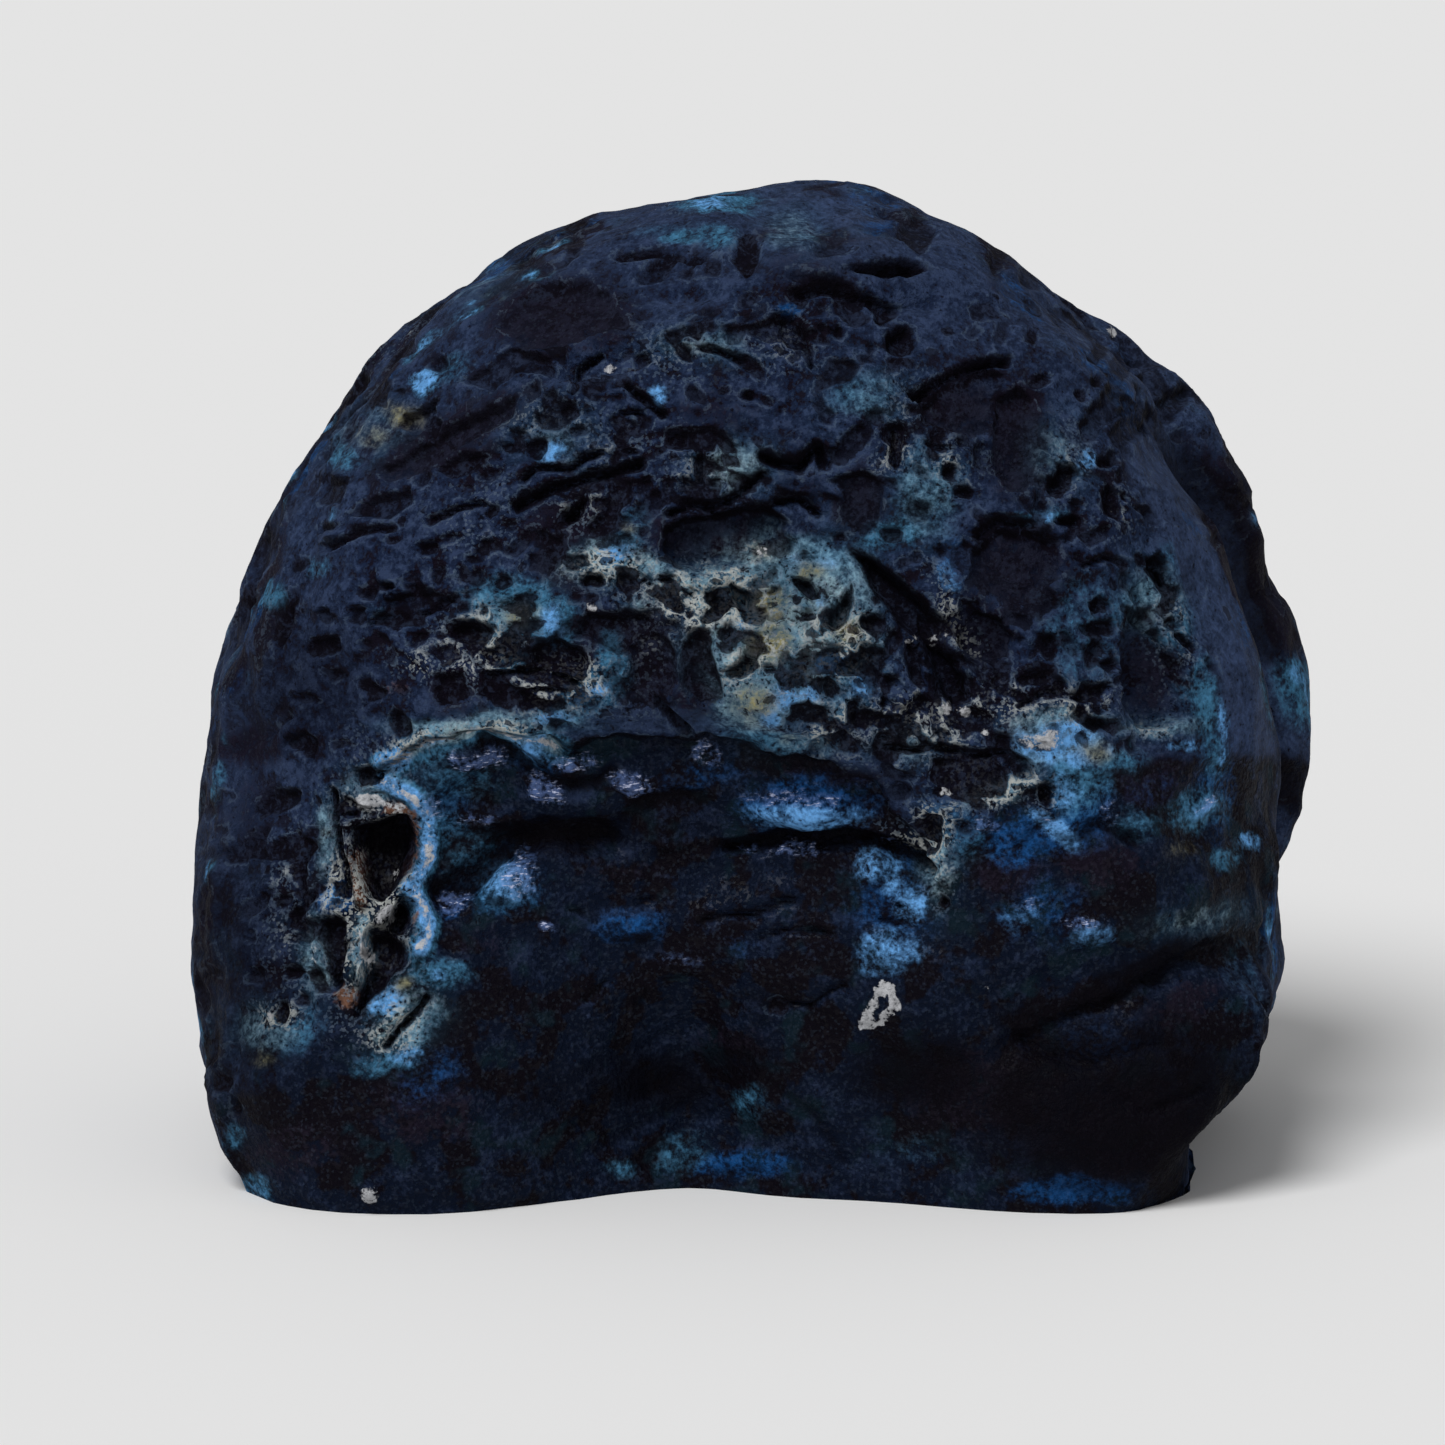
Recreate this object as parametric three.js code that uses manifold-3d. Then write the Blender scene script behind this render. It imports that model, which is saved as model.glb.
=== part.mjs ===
// A dyed agate geode with a sawn base: one stone, rounded like a loaf, seen from its pitted rind.
// Millimetres, +Z up, +X to the right of the pitted face, which looks towards -Y. The origin is
// the middle of the flat base.
import * as THREE from "three";
import { mergeVertices } from "three/addons/utils/BufferGeometryUtils.js";
import Module from "manifold-3d";

// Driving dimensions.
const FRONT_REACH = 38.5; // from the middle plane to the pitted face
const BACK_REACH = 38;
const CENTRE_LEVEL = 34; // height of the middle of the nodule above the sawn base
const FACE_POWER = { above: 2.8, foot: 9 }; // how squarely the pitted face turns at its shoulders
const BACK_POWER = 2.6; // the back is rounder
const HALF = { across: 58, deep: 38, up: 66 }; // the box whose facets are laid on the nodule
const RIND_GRID = { across: 30, deep: 11, up: 31 }; // facets along the box's three directions
const FLOOR_GRID = { across: 56, deep: 4, up: 56 }; // the same for the floor of the recess
const CLEARANCE = 30; // how far a cutting block runs past the stone

// The nodule's outline seen from the pitted face, [x, z], from the left foot over the crown to
// the right foot, and closed below through the part that the saw took away.
const OUTLINE = [
  [-55, 0], [-59.2, 22], [-57.2, 48], [-49.2, 69.8], [-37.6, 85.4], [-22.6, 95.4], [2, 99.8],
  [21, 94.8], [35, 84.2], [46.2, 71.6], [53.2, 56], [53.4, 27], [52.2, 14], [44.3, 0], [30, -30],
  [-34, -32],
];

// Broad swells and hollows of the rind. at is where, reach is how far along each direction,
// rise is how far out (or, when negative, in), and turn leans it in the plane of the face.
const SWELLS = [
  { name: "lower left lump", at: [-33, -34, 9], reach: [19, 20, 13], rise: 2.2 },
  { name: "lower right lump", at: [32, -33, 9], reach: [19, 20, 10], rise: 3 },
  { name: "foot valley", at: [-14, -36, -4], reach: [13, 22, 28], rise: -17 },
  { name: "slope right of the valley", at: [8, -36, -3], reach: [18, 22, 20], rise: -7 },
  { name: "tucked foot", at: [-6, -38, -5], reach: [34, 16, 9], rise: -1.5 },
  { name: "trough above the right lump", at: [31, -36, 21.5], reach: [20, 16, 3.8], rise: -4.5, turn: 19 },
  { name: "floor of the recess", at: [-8, -38, 32], reach: [24, 16, 12], rise: -2.6 },
  { name: "blue shoulder", at: [31, -35, 36], reach: [15, 20, 9], rise: 2 },
  { name: "brow", at: [-6, -38, 57], reach: [34, 20, 7], rise: 1.6 },
  { name: "middle hollow", at: [2, -38, 71], reach: [17, 18, 8], rise: -2 },
  { name: "left cheek", at: [-38, -30, 58], reach: [14, 16, 16], rise: 1.2 },
  { name: "upper right cheek", at: [30, -28, 77], reach: [13, 15, 11], rise: 1.2 },
  { name: "crown knob", at: [10, 0, 104], reach: [13, 24, 11], rise: 1.4 },
  { name: "rear lobe, low", at: [56, 20, 42], reach: [16, 12, 11], rise: 5.8 },
  { name: "rear lobe, middle", at: [54, 18, 48], reach: [16, 12, 8], rise: 1.4 },
  { name: "rear lobe, high", at: [45, 16, 76], reach: [15, 12, 11], rise: 2.6 },
  { name: "groove before the lobe, low", at: [57, 2, 44], reach: [14, 6, 14], rise: -4.5 },
  { name: "groove before the lobe, high", at: [51, 1, 66], reach: [14, 6, 15], rise: -4.5 },
  { name: "right foot undercut", at: [54, -22, 4], reach: [9, 20, 13], rise: -6.5 },
  { name: "back ridge", at: [-12, 38, 62], reach: [17, 18, 30], rise: 3 },
  { name: "back hollow", at: [22, 36, 34], reach: [16, 18, 17], rise: -3.5 },
  { name: "back foot lump", at: [-26, 36, 12], reach: [18, 18, 12], rise: 2.5 },
  { name: "back shoulder", at: [28, 28, 80], reach: [14, 14, 12], rise: 2.2 },
  { name: "left rear hollow", at: [-50, 24, 48], reach: [12, 13, 20], rise: -3 },
];

// Waves of the rind between the swells: wavelength, height and the way that each runs.
const WAVES = [
  { length: 23, height: 0.55, along: [0.8, 0.5, 0.4], phase: 0.4 },
  { length: 17, height: 0.45, along: [-0.5, 0.6, 0.7], phase: 2.1 },
  { length: 13, height: 0.35, along: [0.3, -0.8, 0.6], phase: 4.4 },
  { length: 9.5, height: 0.25, along: [0.7, 0.4, -0.6], phase: 1.3 },
];

// Round pits and scoops, as ellipsoids sunk in the face: half sizes across, up and deep.
// lean tips a scoop so that its upper edge bites in under a ledge.
const SCOOPS = [
  { name: "cave left of the middle", at: [-18.1, 36.1], half: [5.6, 1.9, 7.5], turn: 4, lean: 12 },
  { name: "broad hollow, right", at: [23.9, 61.4], half: [8, 5.5, 2], turn: -8, lean: 12, facets: 2 },
  { name: "brown flat, upper left", at: [-18.4, 87.8], half: [7.5, 3.8, 1.5], turn: 8 },
  { name: "brown flat, upper right", at: [24.2, 78], half: [3.6, 6.2, 1.5], turn: -12 },
  { name: "hollow over the long cast", at: [4.8, 70.8], half: [5, 2.4, 2], turn: 6, lean: 18 },
  { name: "eye hole", at: [39.6, 62.8], half: [2, 2.5, 4], turn: 20 },
  { name: "upper hole", at: [14.7, 85.1], half: [1.9, 2, 3] },
  { name: "vein cave", at: [-35.7, 37], half: [3.8, 2.4, 7.5], lean: 12 },
  { name: "vein channel", at: [-35.2, 31.7], half: [1.7, 5.4, 5.5], turn: -3 },
  { name: "vein pocket", at: [-33.9, 27.1], half: [2.2, 3.8, 4.6], turn: 8 },
  { name: "vein side channel", at: [-40.1, 25.2], half: [1.2, 4.6, 3.2], turn: 6 },
  { name: "vein side pit", at: [-44, 21.4], half: [1.3, 2.2, 2.2], turn: 12 },
  { name: "crack hole", at: [18.1, 29.5], half: [1.1, 2.2, 3.2], turn: 8 },
  { name: "back pit, high", at: [-23.3, 68.2], half: [4, 3, 2.6], back: true },
  { name: "back pit, middle", at: [5.8, 46.8], half: [3, 4.4, 2.8], turn: 20, back: true },
  { name: "back pit, low", at: [-33, 29.2], half: [5, 2.6, 2.4], turn: -16, back: true },
  { name: "back scoop", at: [25.2, 60.4], half: [8, 5, 2.4], turn: 24, back: true, facets: 2 },
  { name: "back slot", at: [0, 81.9], half: [6, 1.6, 2.4], turn: -10, back: true },
];

// Sharp-edged casts that thin blades of another mineral left: a leaf outline with two tips,
// its length, how far each side bows out from the line between the tips, and its depth.
const CASTS = [
  { name: "long cast", at: [-1.2, 65.5], length: 18.5, above: 3.1, below: 2.9, turn: 11, deep: 3 },
  { name: "curved cast", at: [15.1, 57.1], length: 20, above: 3, below: 1.5, turn: -52, deep: 3.2 },
  { name: "leaf slot", at: [-16.5, 68.3], length: 5.6, above: 0.8, below: 0.8, turn: 47, deep: 2.2 },
  { name: "long groove", at: [-14.3, 71.8], length: 9, above: 0.6, below: 0.6, turn: 16, deep: 1.9 },
  { name: "upper groove", at: [-16.2, 73.7], length: 5.2, above: 0.5, below: 0.5, turn: 18, deep: 1.6 },
  { name: "cast under the brow", at: [-18.3, 54], length: 7.4, above: 1.8, below: 1.4, turn: 4, deep: 1.8 },
  { name: "lower brow cast", at: [-20.9, 51], length: 10.5, above: 1.2, below: 1.4, turn: -8, deep: 1.6 },
  { name: "brown cast, left", at: [-12.6, 56.9], length: 8.4, above: 2, below: 2, turn: -6, deep: 1.6 },
  { name: "brown cast, tall", at: [-9.5, 53.6], length: 9, above: 2.1, below: 1.9, turn: 76, deep: 1.8 },
  { name: "small square cast", at: [-15.7, 61.4], length: 5, above: 1.4, below: 1.2, turn: -10, deep: 1.6 },
  { name: "cross slot", at: [-7.3, 48.6], length: 5, above: 0.5, below: 0.5, turn: -51, deep: 1.8 },
  { name: "wedge pit", at: [9.1, 59.2], length: 5.6, above: 0.9, below: 1.4, turn: 66, deep: 2.6 },
  { name: "left nick", at: [5.2, 61], length: 3.6, above: 0.8, below: 0.8, turn: -25, deep: 1.9 },
  { name: "right nick", at: [12.1, 53.7], length: 4.2, above: 0.6, below: 0.6, turn: -70, deep: 1.9 },
  { name: "tall cast, right", at: [39, 53.3], length: 14, above: 3.2, below: 3.2, turn: 82, deep: 2 },
  { name: "lip of the hollow", at: [24.8, 66.7], length: 6.5, above: 0.9, below: 0.9, turn: -4, deep: 3 },
  { name: "crown slot", at: [13.7, 92], length: 9.6, above: 1, below: 1, turn: -2, deep: 3 },
  { name: "steep crease", at: [4.8, 85.4], length: 8.2, above: 0.8, below: 0.6, turn: -62, deep: 2 },
  { name: "lip over the long cast", at: [4, 73.2], length: 7, above: 0.7, below: 0.5, turn: 10, deep: 2.4 },
  { name: "slanting groove", at: [-28.6, 76.6], length: 15, above: 1.2, below: 1.2, turn: 24, deep: 2 },
  { name: "crown ledge groove", at: [-8.5, 93], length: 10, above: 0.8, below: 0.8, turn: -3, deep: 2.2 },
  { name: "upright nick", at: [14, 74.9], length: 4.6, above: 0.6, below: 0.6, turn: 88, deep: 1.8 },
  { name: "left flank nick", at: [-44.6, 57.5], length: 5, above: 0.6, below: 0.6, turn: 58, deep: 1.8 },
  { name: "vein tail", at: [-35.8, 21.4], length: 8.6, above: 1.1, below: 1.1, turn: 48, deep: 3 },
  { name: "vein split", at: [-32.8, 18.7], length: 7.4, above: 0.5, below: 0.5, turn: 50, deep: 1.9 },
  { name: "shelf groove", at: [5, 36.4], length: 15, above: 0.9, below: 0.8, turn: -2, deep: 6 },
  { name: "crust crack", at: [15.4, 33.3], length: 10.5, above: 0.7, below: 0.6, turn: -34, deep: 5.4 },
  { name: "crust ledge", at: [-20.4, 42.5], length: 7, above: 0.7, below: 0.8, turn: -32, deep: 5 },
  { name: "middle ledge", at: [-7.3, 39.6], length: 11, above: 0.7, below: 0.8, turn: 8, deep: 5.4 },
];

// The low part of the face lies back under an arched ledge of crust and comes out again at the
// foot: its outline about at, the ledge first and then the lower edge back to the left.
const RECESS = {
  at: [-9.5, 34.2],
  deep: 4.4, // under the ledge
  proud: 0.8, // how far its floor would stand out of the face at its foot
  foot: 18, // the level where it has run out
  brow: 40, // and the level from which it has its full depth
  ledge: [
    [-29, 11], [-23.5, 15.4], [-14.5, 15.4], [-10.4, 14], [-3, 15.4], [9, 14.4], [20, 11.4], [27.6, 3.6],
  ],
  lowerEdge: [[27, -6], [14, -16], [-6, -18], [-21, -14], [-28, 0]],
};

// Lumps and hollows of the recess's own floor.
const FLOOR_SWELLS = [
  { name: "blue shelf", at: [5, -36, 42], reach: [8, 12, 2.6], rise: 2.2 },
  { name: "left shelf", at: [-24, -36, 45.5], reach: [7, 12, 2.2], rise: 2 },
  { name: "middle shelf", at: [-11, -36, 44.5], reach: [4, 12, 2.4], rise: 1.6 },
  { name: "middle lump", at: [-9, -36, 30], reach: [9, 12, 5], rise: 1.6 },
  { name: "left lump", at: [-25, -36, 33], reach: [5, 12, 4], rise: 1.4 },
  { name: "hollow under the left shelf", at: [-19, -36, 39], reach: [6, 12, 2], rise: -2.2 },
  { name: "hollow under the blue shelf", at: [5, -36, 38], reach: [9, 12, 1.6], rise: -1.6 },
];

const wasm = await Module();
wasm.setup();

const radians = THREE.MathUtils.degToRad;
const stone = new THREE.MeshStandardMaterial({ color: 0x1b2033, roughness: 0.62, metalness: 0 });

// How far a sloping gaussian lump at one place of the rind pushes the point out.
function swellAt(point, swell) {
  const turn = radians(swell.turn ?? 0);
  const dx = point.x - swell.at[0];
  const dz = point.z - swell.at[2];
  const across = (dx * Math.cos(turn) + dz * Math.sin(turn)) / swell.reach[0];
  const up = (dz * Math.cos(turn) - dx * Math.sin(turn)) / swell.reach[2];
  const deep = (point.y - swell.at[1]) / swell.reach[1];
  return swell.rise * Math.exp(-(across ** 2 + up ** 2 + deep ** 2));
}

function waveAt(point, wave) {
  const run = new THREE.Vector3(...wave.along).normalize().dot(point);
  return wave.height * Math.sin((2 * Math.PI * run) / wave.length + wave.phase);
}

// How far the outline lies from the nodule's middle, for each degree round it.
const outlineReach = (() => {
  const corners = OUTLINE.map(([x, z]) => new THREE.Vector3(x, 0, z - CENTRE_LEVEL));
  const steps = new THREE.CatmullRomCurve3(corners, true, "centripetal").getSpacedPoints(1440);
  const reach = new Array(360).fill(0);
  for (const point of steps) reach[Math.floor(degreesRound(point))] = Math.hypot(point.x, point.z);
  return reach;
})();

function degreesRound(point) {
  return THREE.MathUtils.euclideanModulo(THREE.MathUtils.radToDeg(Math.atan2(point.z, point.x)), 360);
}

// The point of the rind in one direction from the nodule's middle: the outline swept back to
// both faces by rounded shoulders, with the swells and waves on it, sunk where that is asked for.
function rindPoint(direction, sunk = () => 0) {
  const d = direction.clone().normalize();
  const degrees = degreesRound(d);
  const step = Math.floor(degrees) % 360;
  const [near, next] = [outlineReach[step], outlineReach[(step + 1) % 360]];
  const reach = THREE.MathUtils.lerp(near, next, degrees - step);
  const outward = Math.hypot(d.x, d.z) / reach;
  const depth = Math.abs(d.y) / (d.y < 0 ? FRONT_REACH : BACK_REACH);
  const offTheFoot = THREE.MathUtils.smoothstep(d.z, -0.65, 0.1);
  const facePower = THREE.MathUtils.lerp(FACE_POWER.foot, FACE_POWER.above, offTheFoot);
  const power = d.y < 0 ? facePower : BACK_POWER;
  const radius = (outward ** power + depth ** power) ** (-1 / power);
  const point = d.clone().multiplyScalar(radius);
  point.z += CENTRE_LEVEL;
  let push = -sunk(point);
  for (const swell of SWELLS) push += swellAt(point, swell);
  for (const wave of WAVES) push += waveAt(point, wave);
  return point.addScaledVector(d, push);
}

// The point of the front or back face straight in front of (x, z).
function facePoint(x, z, back) {
  const guess = new THREE.Vector3(x, back ? BACK_REACH : -FRONT_REACH, z - CENTRE_LEVEL);
  for (let step = 0; step < 12; step += 1) guess.y = rindPoint(guess).y;
  return new THREE.Vector3(x, guess.y, z);
}

// A closed three.js geometry as a solid that can be cut.
function solidOf(geometry) {
  const plain = geometry.index ? geometry.toNonIndexed() : geometry.clone();
  plain.deleteAttribute("normal");
  plain.deleteAttribute("uv");
  const merged = mergeVertices(plain, 1e-4);
  return new wasm.Manifold(
    new wasm.Mesh({
      numProp: 3,
      vertProperties: merged.attributes.position.array,
      triVerts: new Uint32Array(merged.index.array),
    }),
  );
}

// The whole nodule: a box of facets pushed out or in to the rind.
function nodule(grid, sunk) {
  const sides = [2 * HALF.across, 2 * HALF.deep, 2 * HALF.up];
  const box = new THREE.BoxGeometry(...sides, grid.across, grid.deep, grid.up);
  const places = box.attributes.position;
  const point = new THREE.Vector3();
  for (let i = 0; i < places.count; i += 1) {
    point.fromBufferAttribute(places, i);
    places.setXYZ(i, ...rindPoint(point, sunk).toArray());
  }
  return solidOf(box);
}

// Places a cutter's geometry, drawn about the origin with its depth along Y, on the face.
function onFace(geometry, { at, turn = 0, lean = 0, back = false }) {
  const away = back ? -1 : 1;
  geometry.rotateX(radians(lean * away));
  geometry.rotateY(radians(-turn));
  const seat = facePoint(at[0], at[1], back);
  geometry.translate(seat.x, seat.y, seat.z);
  return solidOf(geometry);
}

function scoop(pit) {
  const ball = new THREE.IcosahedronGeometry(1, pit.facets ?? 1);
  ball.scale(pit.half[0], pit.half[2], pit.half[1]);
  return onFace(ball, pit);
}

function cast(blade) {
  const tip = blade.length / 2;
  const leaf = new THREE.Shape();
  leaf.moveTo(-tip, 0);
  leaf.quadraticCurveTo(0, -2 * blade.below, tip, 0);
  leaf.quadraticCurveTo(0, 2 * blade.above, -tip, 0);
  const height = 2 * blade.deep;
  const block = new THREE.ExtrudeGeometry(leaf, { depth: height, bevelEnabled: false, curveSegments: 4 });
  block.rotateX(Math.PI / 2);
  block.translate(0, height / 2, 0);
  return onFace(block, blade);
}

function recessFloorAt(point) {
  const underTheLedge = THREE.MathUtils.smoothstep(point.z, RECESS.foot, RECESS.brow);
  let depth = THREE.MathUtils.lerp(-RECESS.proud, RECESS.deep, underTheLedge);
  for (const swell of FLOOR_SWELLS) depth -= swellAt(point, swell);
  return depth;
}

// What the recess takes out: a block over its outline, down to the sunken rind.
function recess() {
  const edge = [...RECESS.ledge, ...RECESS.lowerEdge].map(([x, z]) => new THREE.Vector3(x, z, 0));
  const points = new THREE.CatmullRomCurve3(edge, true).getPoints(48);
  const outline = new THREE.Shape(points.map((point) => new THREE.Vector2(point.x, -point.y)));
  const block = new THREE.ExtrudeGeometry(outline, { depth: CLEARANCE, bevelEnabled: false });
  block.rotateX(Math.PI / 2);
  block.translate(0, CLEARANCE / 2, 0);
  return onFace(block, RECESS).subtract(nodule(FLOOR_GRID, recessFloorAt));
}

function sawnBase() {
  const [buried] = OUTLINE.map(([, z]) => -z).sort((a, b) => b - a);
  const height = buried + CLEARANCE;
  const block = new THREE.BoxGeometry(6 * CLEARANCE, 6 * CLEARANCE, height);
  block.translate(0, 0, -height / 2);
  return solidOf(block);
}

function geode() {
  let rock = nodule(RIND_GRID).subtract(sawnBase()).subtract(recess());
  for (const pit of SCOOPS) rock = rock.subtract(scoop(pit));
  for (const blade of CASTS) rock = rock.subtract(cast(blade));
  const mesh = rock.getMesh();
  const geometry = new THREE.BufferGeometry();
  geometry.setAttribute("position", new THREE.BufferAttribute(mesh.vertProperties, 3));
  geometry.setIndex(new THREE.BufferAttribute(mesh.triVerts, 1));
  geometry.computeBoundingBox();
  const middle = geometry.boundingBox.getCenter(new THREE.Vector3());
  geometry.translate(-middle.x, -middle.y, 0);
  geometry.computeVertexNormals();
  const piece = new THREE.Mesh(geometry, stone);
  piece.name = "geode";
  return piece;
}

const group = new THREE.Group();
group.add(geode());

export default group;
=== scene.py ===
import bpy
import numpy as np
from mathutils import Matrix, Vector, noise
from mathutils.bvhtree import BVHTree


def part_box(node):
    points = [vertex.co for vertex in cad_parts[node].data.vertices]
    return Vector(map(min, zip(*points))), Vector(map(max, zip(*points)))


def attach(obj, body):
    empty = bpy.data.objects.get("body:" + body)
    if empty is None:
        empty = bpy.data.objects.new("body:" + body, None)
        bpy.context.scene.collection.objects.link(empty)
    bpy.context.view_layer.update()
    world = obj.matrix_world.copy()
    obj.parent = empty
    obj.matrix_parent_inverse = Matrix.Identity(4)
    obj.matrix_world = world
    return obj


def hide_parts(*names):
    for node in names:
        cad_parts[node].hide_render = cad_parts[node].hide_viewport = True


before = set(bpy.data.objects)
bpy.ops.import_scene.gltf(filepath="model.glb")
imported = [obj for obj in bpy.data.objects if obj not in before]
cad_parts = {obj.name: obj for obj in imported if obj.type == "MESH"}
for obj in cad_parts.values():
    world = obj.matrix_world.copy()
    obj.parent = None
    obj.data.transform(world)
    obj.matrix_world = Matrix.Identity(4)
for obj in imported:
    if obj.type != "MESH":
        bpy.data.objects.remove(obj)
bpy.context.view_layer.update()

# The geode's form: one agate nodule, sawn flat to stand, broad and nearly flat in front with
# rounded shoulders.  A box of squares is laid on the solid, finest on the pitted face, the
# solid's own small cuts are filled, and its facets are melted into one smooth lump.
MM = 0.001
HEART_LEVEL = 34.0  # mm above the base, where the nodule's rays meet
SQUARES = 54  # along each edge of the box
HALVINGS = 2  # of each square on the pitted face, one more than elsewhere
AIM_BEHIND = -1.25  # the rays of the face meet behind the stone, those of the back before it
OUTSIDE = 40.0  # mm from the box, where each ray begins
HAIR = 0.01  # mm, to tell what lies on a side of the box
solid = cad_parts["geode"]
low, high = [np.array(corner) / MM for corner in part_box("geode")]
half_box = (high - low) / 2


def places(piece):
    flat = np.empty(len(piece.data.vertices) * 3)
    piece.data.vertices.foreach_get("co", flat)
    return flat.reshape(-1, 3) / MM


def put(piece, new_places):
    piece.data.vertices.foreach_set("co", (new_places * MM).ravel())
    piece.data.update()


def face_centres(piece):
    flat = np.empty(len(piece.data.polygons) * 3)
    piece.data.polygons.foreach_get("center", flat)
    return flat.reshape(-1, 3) / MM


def choose(piece, kind, wanted):
    """Opens a piece for editing with only the wanted vertices or polygons selected."""
    bpy.ops.object.mode_set(mode="EDIT")
    bpy.ops.mesh.select_all(action="DESELECT")
    bpy.ops.mesh.select_mode(type="VERT" if kind == "vertices" else "FACE")
    bpy.ops.object.mode_set(mode="OBJECT")
    getattr(piece.data, kind).foreach_set("select", wanted)
    bpy.ops.object.mode_set(mode="EDIT")


def halve_squares(piece, wanted):
    choose(piece, "polygons", wanted)
    bpy.ops.mesh.subdivide(number_cuts=1, ngon=False)
    bpy.ops.object.mode_set(mode="OBJECT")


def ramp(start, end, values):
    """Eases from 0 at the start to 1 at the end, which may be the lower of the two."""
    along = np.clip((values - start) / (end - start), 0.0, 1.0)
    return along * along * (3.0 - 2.0 * along)


bpy.ops.object.select_all(action="DESELECT")
bpy.ops.mesh.primitive_cube_add(
    size=1, location=Vector((low + high) / 2) * MM, scale=Vector(high - low) * MM
)
stone = bpy.context.object
stone.name = "geode_rind"
bpy.ops.object.transform_apply(location=True, rotation=True, scale=True)
bpy.ops.object.mode_set(mode="EDIT")
bpy.ops.mesh.subdivide(number_cuts=SQUARES - 1)
bpy.ops.object.mode_set(mode="OBJECT")
halve_squares(stone, face_centres(stone)[:, 2] > HAIR)
halve_squares(stone, face_centres(stone)[:, 1] < low[1] + HAIR)

# Every point of the box goes straight in to the solid, level below the heart and towards it above.
# Those of the base go to its middle, just above the saw cut, and keep their spacing.
boxed = places(stone)
on_base = boxed[:, 2] < HAIR
on_face = boxed[:, 1] < low[1] + HAIR
aim = np.zeros_like(boxed)
aim[:, 1] = boxed[:, 1] * AIM_BEHIND
aim[:, 2] = np.minimum(boxed[:, 2], HEART_LEVEL)
aim[on_base] = 0.0
tree = BVHTree.FromObject(solid, bpy.context.evaluated_depsgraph_get())
points = boxed.copy()
for i, (start, end) in enumerate(zip(boxed, aim)):
    if on_base[i] and np.max(np.abs(start[:2])) < HAIR:
        continue
    inward = end - start
    inward /= np.linalg.norm(inward)
    above_cut = np.array([0.0, 0.0, 0.3 if on_base[i] else 0.0])
    hit = tree.ray_cast(Vector((start + above_cut - inward * OUTSIDE) * MM), Vector(inward))[0]
    points[i] = np.array(hit) / MM
    if on_base[i]:
        points[i] *= min(np.max(np.abs(start[:2]) / half_box[:2]), 1.0)
        points[i][2] = 0.0

# The face as a table of points, to fill its small cuts: what is narrower than the filler is
# left at the level round it.
FILLER = 7  # squares of the face, about 3.5 mm
BLURS = 14
MELTING = 8  # rounds of smoothing that take the solid's facets away
side = SQUARES * 2**HALVINGS
column = np.rint((boxed[on_face, 0] - low[0]) / (high[0] - low[0]) * side).astype(int)
row = np.rint(boxed[on_face, 2] / high[2] * side).astype(int)
table = np.zeros((side + 1, side + 1), int)
table[row, column] = np.flatnonzero(on_face)


def shifted(values, rows, columns, pad):
    padded = np.pad(values, pad, mode="edge")
    height, width = values.shape
    return padded[pad + rows : pad + rows + height, pad + columns : pad + columns + width]


def widened(values, take, radius):
    result = values.copy()
    for rows in range(-radius, radius + 1):
        for columns in range(-radius, radius + 1):
            if rows * rows + columns * columns <= radius * radius:
                result = take(result, shifted(values, rows, columns, radius))
    return result


outwards = -points[table, 1]
filled = widened(widened(outwards, np.maximum, FILLER), np.minimum, FILLER)
for blur in range(BLURS):
    near = [shifted(filled, *step, 1) for step in ((0, 1), (1, 0), (0, -1), (-1, 0))]
    filled = 0.5 * filled + 0.125 * sum(near)
lanes = np.arange(side + 1)
from_edge = np.minimum(lanes, side - lanes)
room = ramp(1, 2 * FILLER, np.minimum(from_edge[None, :], from_edge[:, None]))
points[table, 1] = -(outwards + room * (filled - outwards))
put(stone, points)
choose(stone, "vertices", boxed[:, 2] > HAIR)
bpy.ops.mesh.vertices_smooth(factor=0.5, repeat=MELTING)
bpy.ops.object.mode_set(mode="OBJECT")
points = places(stone)
points[:, 2] = np.maximum(points[:, 2], 0.0)
put(stone, points)


def outward_normals(piece):
    flat = np.empty(len(piece.data.vertices) * 3)
    piece.data.vertices.foreach_get("normal", flat)
    return flat.reshape(-1, 3)


normals = outward_normals(stone)

# Places on the face are given as they are met looking square at it from a little above, in
# millimetres across (x) and up (z) from the middle of the sawn edge.
LOOK_DOWN = np.radians(12.0)
LOOK_FROM = 1200.0  # mm from the stone's middle
MIDDLE = (-3.4, 44.1)
SEEN_SCALE = (0.9678, 0.9893)
SEEN_SHIFT = (-3.305, 50.99)
beyond = points[:, 1] * np.cos(LOOK_DOWN) - (points[:, 2] - MIDDLE[1]) * np.sin(LOOK_DOWN)
nearness = LOOK_FROM / (LOOK_FROM + beyond)
rise = points[:, 1] * np.sin(LOOK_DOWN) + (points[:, 2] - MIDDLE[1]) * np.cos(LOOK_DOWN)
seen_x = (points[:, 0] - MIDDLE[0]) * nearness * SEEN_SCALE[0] + SEEN_SHIFT[0]
seen_z = rise * nearness * SEEN_SCALE[1] + SEEN_SHIFT[1]
facing = normals @ np.array([0.0, -np.cos(LOOK_DOWN), np.sin(LOOK_DOWN)])
frontal = ramp(0.06, 0.34, facing)
vectors = [Vector(place) for place in points]


def grain(size, seed, octaves=1):
    """Noise from about -1 to 1 over the stone, with lumps about size millimetres across."""
    shift = Vector((17.3 * seed, 5.1 * seed, -9.7 * seed))
    if octaves == 1:
        return np.array([noise.noise(place / size + shift) for place in vectors])
    return np.array([noise.fractal(place / size + shift, 0.9, 2.1, octaves) for place in vectors])


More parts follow.
